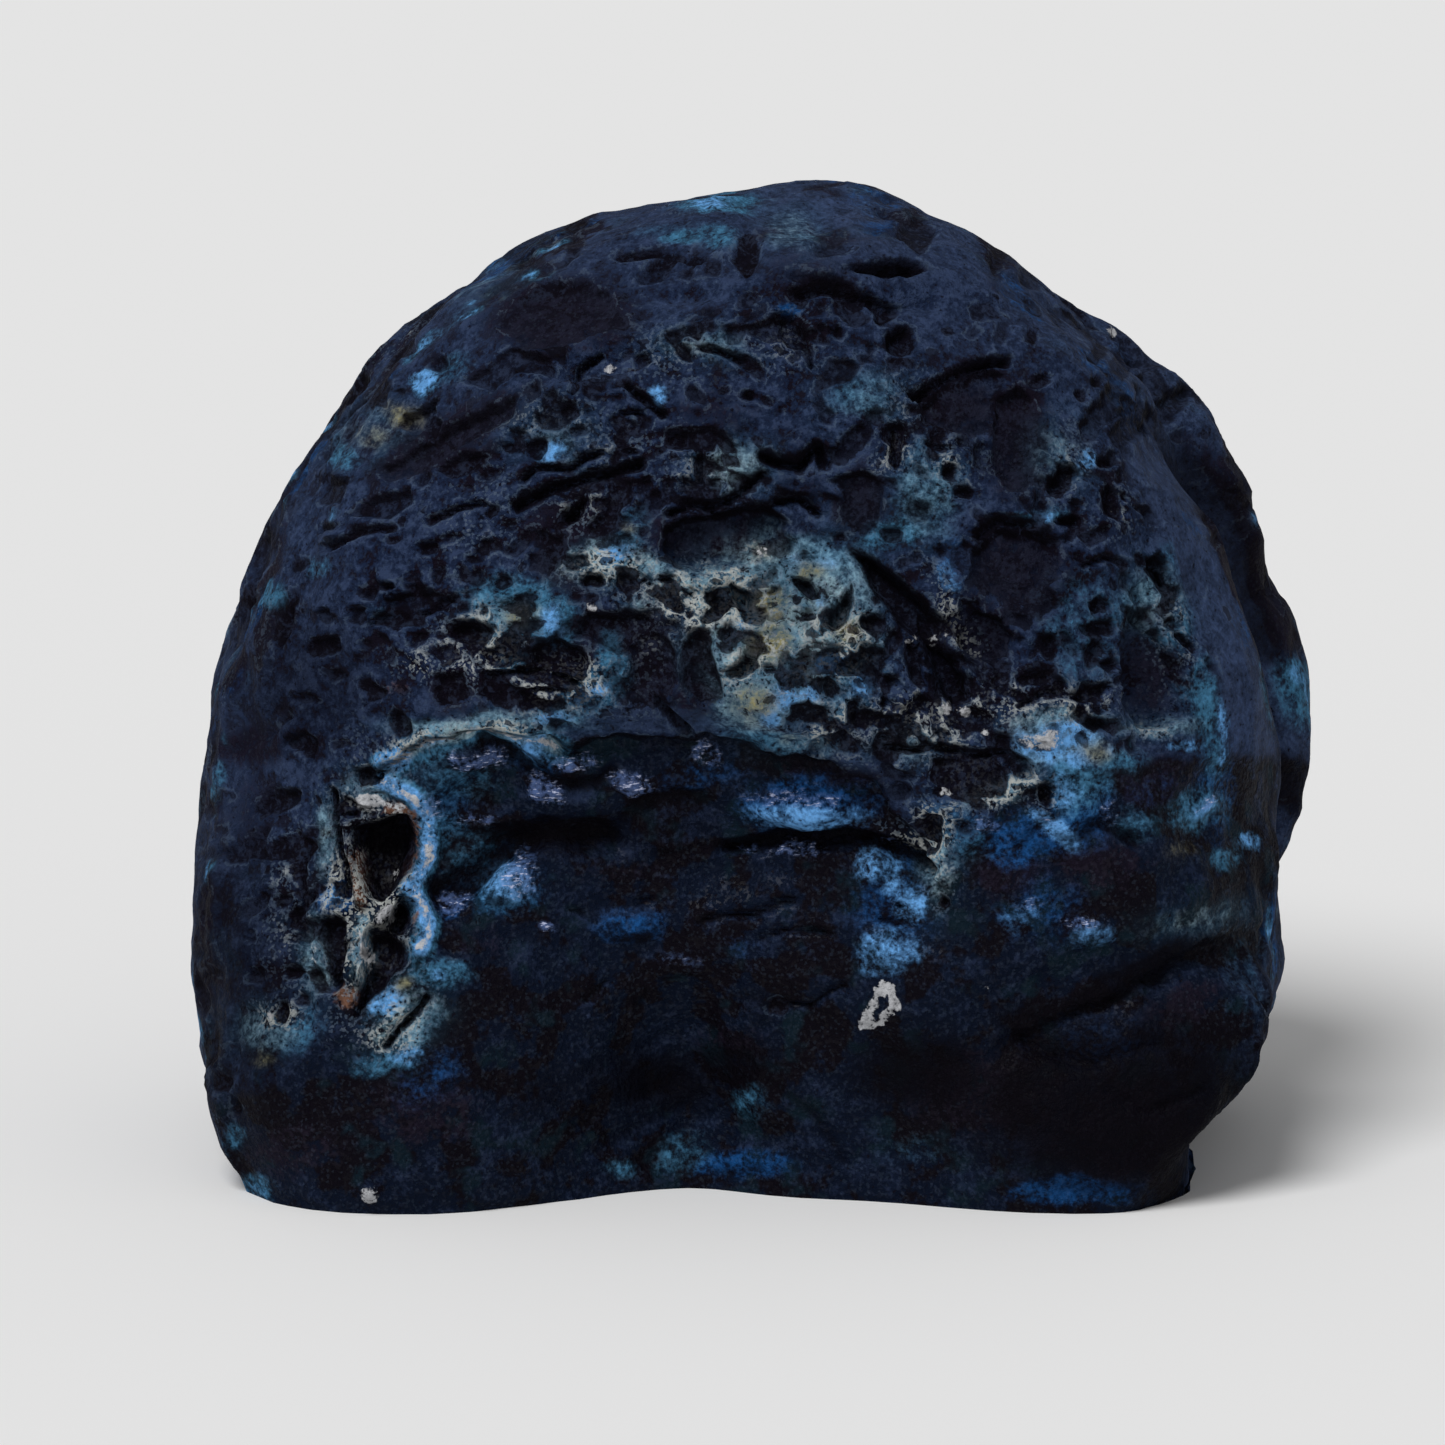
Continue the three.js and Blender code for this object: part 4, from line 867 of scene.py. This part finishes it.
        (42, 63.6, 4, 3.4, 0.4), (-28.6, 97, 5, 2, 0.3, 25), (45, 30, 5, 1.6, 0.3, 10),
    ],
    # Painted shade: in the folds and hollows, under the ledge, and over the lower lumps and the left
    # face.
    "shade": [
        (-19.5, 38, 7, 1.7, 1), (-28, 35.2, 3.2, 1, 0.8, 42), (5.6, 37.7, 8.6, 0.7, 1.2),
        (37, 11, 13, 8, 1.5), (-10, 13, 8, 3.4, 0.9), (38, 23.6, 9, 1.8, 1.2, 28),
        (28, 20, 5, 2.2, 0.8, 15), (-12, 40, 10, 2, 0.5), (-22, 12, 5, 3, 0.5),
        (6, 46, 8, 1.2, 0.8, -10), (-6, 48, 8, 1, 0.6), (-26.8, 47.6, 3.4, 0.8, 0.5),
        (1.6, 21.6, 4, 1.6, 0.6), (17, 14, 7, 4, 1.1), (-2, 14.8, 6, 3, 0.8),
        (-38, 38.4, 2.8, 1.4, 1.2), (-53.5, 22, 7, 22, 0.6), (-46, 54, 9, 9, 0.62),
    ],
}


def one_stain(x, z, half_x, half_z, strength, turn=0):
    """The points near a stain, and how strongly it colours each."""
    ids = near_place(x, z, max(half_x, half_z) * 2.2 + 1.5)
    across, up = strayed(ids, min(0.6, 0.2 + 0.2 * min(half_x, half_z)))
    u, v = along_axes(x, z, half_x, half_z, turn, across, up)
    return ids, strength * np.exp(-0.7 * (u * u + v * v) ** 1.15)


def stained(stains):
    """How strongly a list of stains colours each point of the face."""
    result = np.zeros(len(points))
    for place in stains:
        ids, strength = one_stain(*place)
        result[ids] = np.maximum(result[ids], strength)
    return result * ramp(0.02, 0.2, facing)


marks = {name: stained(stains) for name, stains in STAINS.items()}


def lay(name, strength, ids=slice(None)):
    """Brings a mark up to the strength given wherever it is fainter."""
    marks[name][ids] = np.maximum(marks[name][ids], strength)


# Pale agate shows along the cavity's rim and under the left end of the ledge, iron stains the
# rim's inner edge, and a chip is ringed with white.
PALE_LEDGE = [(-37.5, 46.2), (-34, 48.1), (-27.7, 49.4), (-23.4, 48.5), (-20.2, 47.5)]
RUSTY_EDGE = [(-36.2, 41.6), (-35, 40.6), (-34.6, 38.9), (-34.8, 36.9), (-35.8, 34.8)]
CHIP = [(10.9, 18.9), (12.2, 21.6), (13, 23.3), (14.2, 22.9), (14.7, 20.6), (12.9, 19.3)]
ids, gap = along_line(AGATE_RIM, 0.15)
lay("sky", 1.2 * ramp(1.1, 0.3, gap), ids)
lay("white", 0.72 * ramp(0.7, 0.2, gap), ids)
lay("teal", ramp(1.9, 0.5, gap), ids)
ids, gap = along_line(PALE_LEDGE, 0.3)
lay("mist", 1.1 * ramp(0.9, 0.3, gap), ids)
lay("white", 0.8 * ramp(0.5, 0.1, gap), ids)
lay("teal", 0.9 * ramp(2.6, 0.5, gap), ids)
ids, gap = along_line(RUSTY_EDGE, 0.15)
lay("rust", ramp(0.7, 0.2, gap), ids)
ids, inside_by = within(CHIP, 0.25)
lay("white", 1.4 * ramp(0.75, 0.2, np.abs(inside_by - 0.2)), ids)

# On the sides, top and back the dye follows the pits and lumps on its own.
wash = grain(11.0, 21, 3)
blots = grain(4.5, 22, 3)
lay("teal", behind * 0.75 * ramp(0.14, 0.65, 0.6 * wash + 0.5 * blots))
lay("sky", behind * 0.8 * ramp(0.38, 0.62, 0.35 * wash + 0.6 * blots))
lay("plum", behind * ramp(0.1, 0.45, 0.6 * grain(8.0, 23, 3) + 0.4 * hollow))
lay("worn", behind * 0.3 * ramp(0.0, 0.4, grain(10.0, 24, 2)))
lay("mist", behind * 0.3 * ramp(0.25, 0.8, grain(6.0, 26, 3)))
lay("cobalt", behind * 0.5 * ramp(0.15, 0.5, grain(12.0, 25, 3)))

# The right shoulder wears a plain band of painted sheen, and the lobe behind it is plum but for one
# patch.
band = before_crease * along_shoulder
band *= ramp(-7.0, -3.5, from_shoulder) * ramp(0.8, -0.2, from_shoulder)
past_shoulder = along_shoulder * ramp(0.0, 0.8, from_shoulder)
past_shoulder *= ramp(38.0, 16.0, depth_in + 9.0 * blots) * ramp(86.0, 72.0, seen_z + 10.0 * blots)
plain_lobe = past_shoulder * (1.0 - ramp(46.0, 48.0, seen_z) * ramp(58.0, 56.0, seen_z))
upper_right = ramp(24.0, 30.0, points[:, 0]) * ramp(74.0, 80.0, seen_z) * behind
dim = np.maximum(plain_lobe, upper_right * ramp(34.0, 22.0, depth_in))
for name in ("teal", "sky", "plum", "worn", "mist"):
    marks[name] *= (1.0 - 0.75 * band) * (1.0 - 0.85 * dim)
lay("plum", past_shoulder * np.maximum(ramp(47.0, 45.0, seen_z), ramp(56.0, 60.0, seen_z)))

# Deep dye and painted shade, darker towards the foot and in the recess; painted sheen where the
# crust turns away from the view; painted shade in the folds and in the right shoulder's crease.
foot = ramp(44.0, 26.0, seen_z + 5.0 * soft_lumps) * (0.5 + 0.5 * ramp(-46.0, -34.0, seen_x))
marks["foot"] = np.maximum(foot, 1.0 - crust) * ramp(0.0, 0.3, facing)
turned_away = ramp(0.92, 0.35, facing) * (0.5 + 0.5 * ramp(-45, -8, seen_x)) * (points[:, 2] > 2)
painted_sheen = np.clip(turned_away * (0.9 + 0.5 * soft_lumps) * crust, 0, 1)
marks["painted_sheen"] = np.maximum(painted_sheen * (1.0 - past_shoulder), 1.2 * band)
marks["crust"] = np.maximum(crust * (1 - behind), behind * 0.75)
marks["rim"] = np.clip(rim, -3.0, 3.0)
marks["hollow"] = hollow * (1.0 - 0.8 * band)
marks["proud"] = np.clip(proud, -1.0, 1.0)
marks["tilt"] = tilt
lay("shade", painted_fold_shade)
# Painted shade in the crease behind the right shoulder and on the lobe just past it.
in_shade = ramp(-4.0, 1.0, depth_in) * ramp(22.0, 8.0, depth_in) * ramp(3.2, 0.3, from_shoulder)
in_shade *= 1.0 - 0.7 * ramp(46.0, 49.0, seen_z) * ramp(58.0, 55.0, seen_z)
lay("shade", 0.75 * along_shoulder * np.maximum(in_crease, in_shade * (points[:, 0] > 36)))
for name, values in marks.items():
    stone.data.attributes.new(name, "FLOAT", "POINT").data.foreach_set("value", values)

# The finish: a matte navy rind with purple-black floors in the pits, worn cream edges, and a
# slightly glossy skin of fine quartz grains in the recess.
NAVY = (0.0092, 0.0165, 0.0425)
SLATE = (0.031, 0.049, 0.106)
PLUM = (0.0066, 0.0048, 0.0102)
DEEPS = ((0.0036, 0.0027, 0.0056), (0.0029, 0.0060, 0.0165), (0.0042, 0.0120, 0.0205))
FLOOR = (0.0132, 0.0170, 0.0325)
MIST = (0.178, 0.275, 0.328)
TEAL = (0.036, 0.122, 0.215)
COBALT = (0.007, 0.055, 0.180)
SKY = (0.125, 0.34, 0.69)
EDGE = (0.082, 0.120, 0.178)
CREAM = (0.45, 0.47, 0.45)
OCHRE = (0.27, 0.25, 0.13)
RUST = (0.15, 0.075, 0.05)
WHITE = (0.58, 0.59, 0.62)
HIGHLIGHT_HAZE = (0.085, 0.135, 0.300)
GLINT = (0.50, 0.54, 0.74)
finish = bpy.data.materials.new("dyed_agate")
finish.use_nodes = True
graph = finish.node_tree
shader = graph.nodes["Principled BSDF"]
here = graph.nodes.new("ShaderNodeTexCoord").outputs["Object"]


def feed(node, inputs):
    for socket, value in inputs.items():
        if isinstance(value, bpy.types.NodeSocket):
            graph.links.new(value, node.inputs[socket])
        else:
            node.inputs[socket].default_value = value
    return node


def mark(name):
    node = graph.nodes.new("ShaderNodeAttribute")
    node.attribute_name = name
    return node.outputs["Fac"]


def reckon(kind, *values):
    node = graph.nodes.new("ShaderNodeMath")
    node.operation = kind
    return feed(node, dict(enumerate(values))).outputs[0]


def times(first, second):
    return reckon("MULTIPLY", first, second)


def scaled(value, by, plus):
    return reckon("MULTIPLY_ADD", value, by, plus)


def cloud(size, detail, roughness=0.55):
    """Noise whose lumps are about size millimetres across."""
    node = graph.nodes.new("ShaderNodeTexNoise")
    return feed(node, {
        "Vector": here, "Scale": 1.0 / (size * MM), "Detail": detail, "Roughness": roughness,
    }).outputs["Fac"]


def between(value, start, end):
    node = graph.nodes.new("ShaderNodeMapRange")
    node.interpolation_type = "SMOOTHSTEP"
    return feed(node, {"Value": value, "From Min": start, "From Max": end}).outputs["Result"]


def layer(under, over, amount):
    node = graph.nodes.new("ShaderNodeMix")
    node.data_type = "RGBA"
    sockets = [socket for socket in node.inputs if socket.type == "RGBA"]
    for socket, value in zip(sockets, (under, over)):
        if isinstance(value, bpy.types.NodeSocket):
            graph.links.new(value, socket)
        else:
            socket.default_value = (*value, 1.0)
    graph.links.new(amount, node.inputs[0])
    return [socket for socket in node.outputs if socket.type == "RGBA"][0]


def chips(size):
    """Angular chips: how far in from its edge each point lies, and each chip's own number."""
    bend = graph.nodes.new("ShaderNodeTexNoise")
    feed(bend, {"Vector": here, "Scale": 1.3 / (size * MM), "Detail": 2.0})
    shift = graph.nodes.new("ShaderNodeVectorMath")
    shift.operation = "MULTIPLY_ADD"
    feed(shift, {0: bend.outputs["Color"], 1: (size * MM * 0.45,) * 3, 2: here})
    found = []
    for feature in ("DISTANCE_TO_EDGE", "F1"):
        node = graph.nodes.new("ShaderNodeTexVoronoi")
        node.feature = feature
        found.append(feed(node, {"Vector": shift.outputs[0], "Scale": 1.0 / (size * MM)}).outputs)
    return found[0]["Distance"], found[1]["Color"]


def grains(size):
    """A number from 0 to 1 for each angular grain of about size millimetres."""
    node = graph.nodes.new("ShaderNodeTexVoronoi")
    return between(feed(node, {"Vector": here, "Scale": 1.0 / (size * MM)}).outputs["Color"], 0.2, 0.8)


ragged = between(cloud(1.7, 4.0, 0.6), 0.34, 0.66)
fine = between(cloud(0.55, 3.0, 0.6), 0.34, 0.66)
broad = between(cloud(6.0, 4.0, 0.6), 0.36, 0.64)
speck = grains(0.28)
mottled = scaled(speck, 0.12, scaled(fine, 0.4, times(ragged, 0.48)))
stray = reckon("SUBTRACT", mottled, 0.5)


def stain(name, start, end, strayed_by=1.3):
    return between(times(scaled(stray, strayed_by, 1.0), mark(name)), start, end)


def shades(base, dark, light):
    """A colour mottled from darker to lighter."""
    return layer(tuple(dark * v for v in base), tuple(light * v for v in base), mottled)


# The ground: purple-black in the lows, navy between, slate at the top of a tone that is partly
# random and partly painted light and shade, raised on what stands proud or faces up and lowered
# on what faces down; lower down deep plum, navy and sea-green blotches darken it, as dye and as
# painted shade that grows towards the bottom.
tone = scaled(broad, 0.3, times(mottled, 0.7))
tone = scaled(mark("tilt"), 0.35, scaled(mark("proud"), 0.22, tone))
colour = layer(PLUM, NAVY, between(tone, 0.15, 0.45))
lit = times(between(tone, 0.42, 0.85), scaled(mark("crust"), 0.7, 0.2))
colour = layer(colour, SLATE, lit)
# Painted sheen where the crust turns away from the view and along the right shoulder's band.
colour = layer(colour, shades(SLATE, 0.4, 1.5), times(mark("painted_sheen"), 0.85))
drifts = cloud(4.4, 3.0)
deep = layer(DEEPS[0], DEEPS[1], between(broad, 0.3, 0.6))
deep = layer(deep, DEEPS[2], between(drifts, 0.54, 0.66))
colour = layer(colour, deep, times(mark("foot"), between(tone, 1.25, 0.5)))
colour = layer(colour, shades(PLUM, 0.6, 1.8), times(stain("plum", 0.25, 0.8), 0.92))
for name, base, dark, light, start, end in (
    ("cobalt", COBALT, 0.3, 1.4, 0.12, 0.9),
    ("teal", TEAL, 0.3, 1.7, 0.10, 0.95),
    ("mist", MIST, 0.35, 1.7, 0.10, 0.9),
    ("sky", SKY, 0.4, 1.35, 0.15, 1.0),
    ("ochre", OCHRE, 0.5, 1.1, 0.1, 1.2),
    ("rust", RUST, 0.4, 1.2, 0.3, 0.9),
):
    colour = layer(colour, shades(base, dark, light), stain(name, start, end))
    if name == "mist":
        tinge = times(between(drifts, 0.62, 0.5), mark("mist"))
        colour = layer(colour, shades(TEAL, 0.5, 2.0), times(tinge, 0.6))

# Fine broken grains: pale flecks where the crust is rubbed, and dark pinholes.
worn = between(times(scaled(broad, 0.7, 0.65), mark("worn")), 0.08, 0.9)
rubbed = layer(EDGE, CREAM, between(scaled(mottled, 0.7, worn), 0.6, 1.5))
fleck = between(scaled(worn, 0.3, speck), 0.98, 1.04)
colour = layer(colour, rubbed, times(fleck, scaled(worn, 0.4, 0.3)))
pinholes = between(scaled(worn, -0.3, reckon("ADD", speck, fine)), 0.1, 0.0)
colour = layer(colour, shades(PLUM, 0.4, 1.2), times(pinholes, 0.85))

# Pits are purple-black inside, with painted shade on walls that face down, as under their upper
# edges, and a thin broken edge that is palest where the crust is most rubbed; the finest are
# chips of a millimetre or two.
inside = scaled(stray, 0.5, mark("rim"))
dark = times(between(inside, 0.0, 0.2), mark("hollow"))
clear = between(inside, -0.1, -0.5)
edges = between(reckon("ABSOLUTE", reckon("ADD", inside, 0.1)), 0.15, 0.05)
inset, number = chips(1.4)
share = scaled(worn, 0.34, times(mark("crust"), 0.1))
broken = times(reckon("LESS_THAN", number, share), clear)
chip_floor = times(broken, between(inset, 0.09, 0.14))
dark = reckon("MAXIMUM", dark, times(chip_floor, 0.85))
chip_edge = times(broken, between(reckon("ABSOLUTE", reckon("SUBTRACT", inset, 0.07)), 0.06, 0.02))
edges = reckon("MAXIMUM", edges, times(chip_edge, 0.6))
dust = between(scaled(mark("hollow"), -0.35, mottled), 0.15, 0.5)
colour = layer(colour, layer(shades(PLUM, 0.3, 0.9), FLOOR, dust), times(dark, 0.95))
gaps = between(scaled(worn, 0.5, ragged), 0.45, 0.7)
colour = layer(colour, rubbed, times(times(edges, gaps), scaled(worn, 0.65, 0.3)))
colour = layer(colour, shades(WHITE, 0.4, 1.0), stain("white", 0.45, 0.85, 1.6))
# Painted shade from the shade marks, and on walls that the relief turns to face down.
shade = times(between(mark("shade"), 0.1, 1.0), 0.88)
shade = reckon("MAXIMUM", shade, times(between(mark("tilt"), -0.35, -0.95), 0.8))
colour = layer(colour, tuple(0.3 * value for value in PLUM), shade)

# On the lumps of the recess highlights are painted into the colour: a pale haze, and glints in level
# streaks.
STREAKS = (900.0, 900.0, 4200.0)  # a metre, across, inwards and up
flattened = graph.nodes.new("ShaderNodeVectorMath")
flattened.operation = "MULTIPLY"
feed(flattened, {0: here, 1: STREAKS})
streaks = graph.nodes.new("ShaderNodeTexNoise")
feed(streaks, {"Vector": flattened.outputs[0], "Scale": 1.0, "Detail": 3.0, "Roughness": 0.6})
painted_highlight = stain("painted_highlight", 0.15, 1.0, 2.2)
colour = layer(colour, shades(HIGHLIGHT_HAZE, 0.2, 1.6), times(painted_highlight, 0.6))
colour = layer(colour, GLINT, times(painted_highlight, between(streaks.outputs["Fac"], 0.57, 0.62)))
graph.links.new(colour, shader.inputs["Base Color"])

skin = scaled(mark("crust"), 0.3, scaled(fine, 0.25, 0.4))
graph.links.new(skin, shader.inputs["Roughness"])
gloss = times(reckon("SUBTRACT", 1.0, mark("crust")), between(fine, 0.5, 1.0))
graph.links.new(times(gloss, scaled(shade, -0.1, 0.1)), shader.inputs["Coat Weight"])
shader.inputs["Coat Roughness"].default_value = 0.28
shader.inputs["Specular IOR Level"].default_value = 0.03
bump = graph.nodes.new("ShaderNodeBump")
height = scaled(fine, 0.36, times(ragged, 0.5))
feed(bump, {"Height": height, "Strength": 0.85, "Distance": 0.32 * MM})
graph.links.new(bump.outputs["Normal"], shader.inputs["Normal"])

SHARPEST = np.radians(60)  # edges that turn more sharply than this stay crisp
bpy.ops.object.select_all(action="DESELECT")
stone.select_set(True)
bpy.context.view_layer.objects.active = stone
bpy.ops.object.shade_smooth_by_angle(angle=SHARPEST)
stone.data.materials.clear()
stone.data.materials.append(finish)
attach(stone, "root")
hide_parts("geode")

# The stand-in studio: a white sheet, broad soft light from above and the front, and the lens of
# a buyer's close look from a little above.
SHEET_WIDTH = 8  # metres
SEEN_WIDTH = 152.5  # mm across the frame at the stone's middle
SENSOR_WIDTH = 36.0  # mm
sheet_paint = bpy.data.materials.new("white_sheet")
sheet_paint.use_nodes = True
paint = sheet_paint.node_tree.nodes["Principled BSDF"]
paint.inputs["Base Color"].default_value = (0.95, 0.95, 0.95, 1.0)
paint.inputs["Specular IOR Level"].default_value = 0.0
bpy.ops.mesh.primitive_plane_add(size=SHEET_WIDTH)
sheet = bpy.context.object
sheet.name = "sheet"
sheet.data.materials.append(sheet_paint)

middle = Vector((MIDDLE[0], 0.0, MIDDLE[1])) * MM
bpy.ops.object.camera_add(
    location=middle + LOOK_FROM * MM * Vector((0.0, -np.cos(LOOK_DOWN), np.sin(LOOK_DOWN))),
    rotation=(np.pi / 2 - LOOK_DOWN, 0.0, 0.0),
)
camera = bpy.context.object
camera.data.sensor_width = SENSOR_WIDTH
camera.data.lens = SENSOR_WIDTH * LOOK_FROM / SEEN_WIDTH
camera.data.shift_y = -0.003
bpy.context.scene.camera = camera

bpy.ops.object.light_add(type="SUN", location=(-0.3, -0.5, 0.9))
window = bpy.context.object
window.data.energy = 1.9
window.data.angle = np.radians(30.0)
window.rotation_euler = Vector((0.32, 0.5, -0.85)).to_track_quat("-Z", "Y").to_euler()
world = bpy.data.worlds.new("studio")
bpy.context.scene.world = world
world.use_nodes = True
room_light = world.node_tree.nodes["Background"]
room_light.inputs["Color"].default_value = (1.0, 1.0, 1.0, 1.0)
room_light.inputs["Strength"].default_value = 0.32
bpy.context.scene.view_settings.view_transform = "Standard"
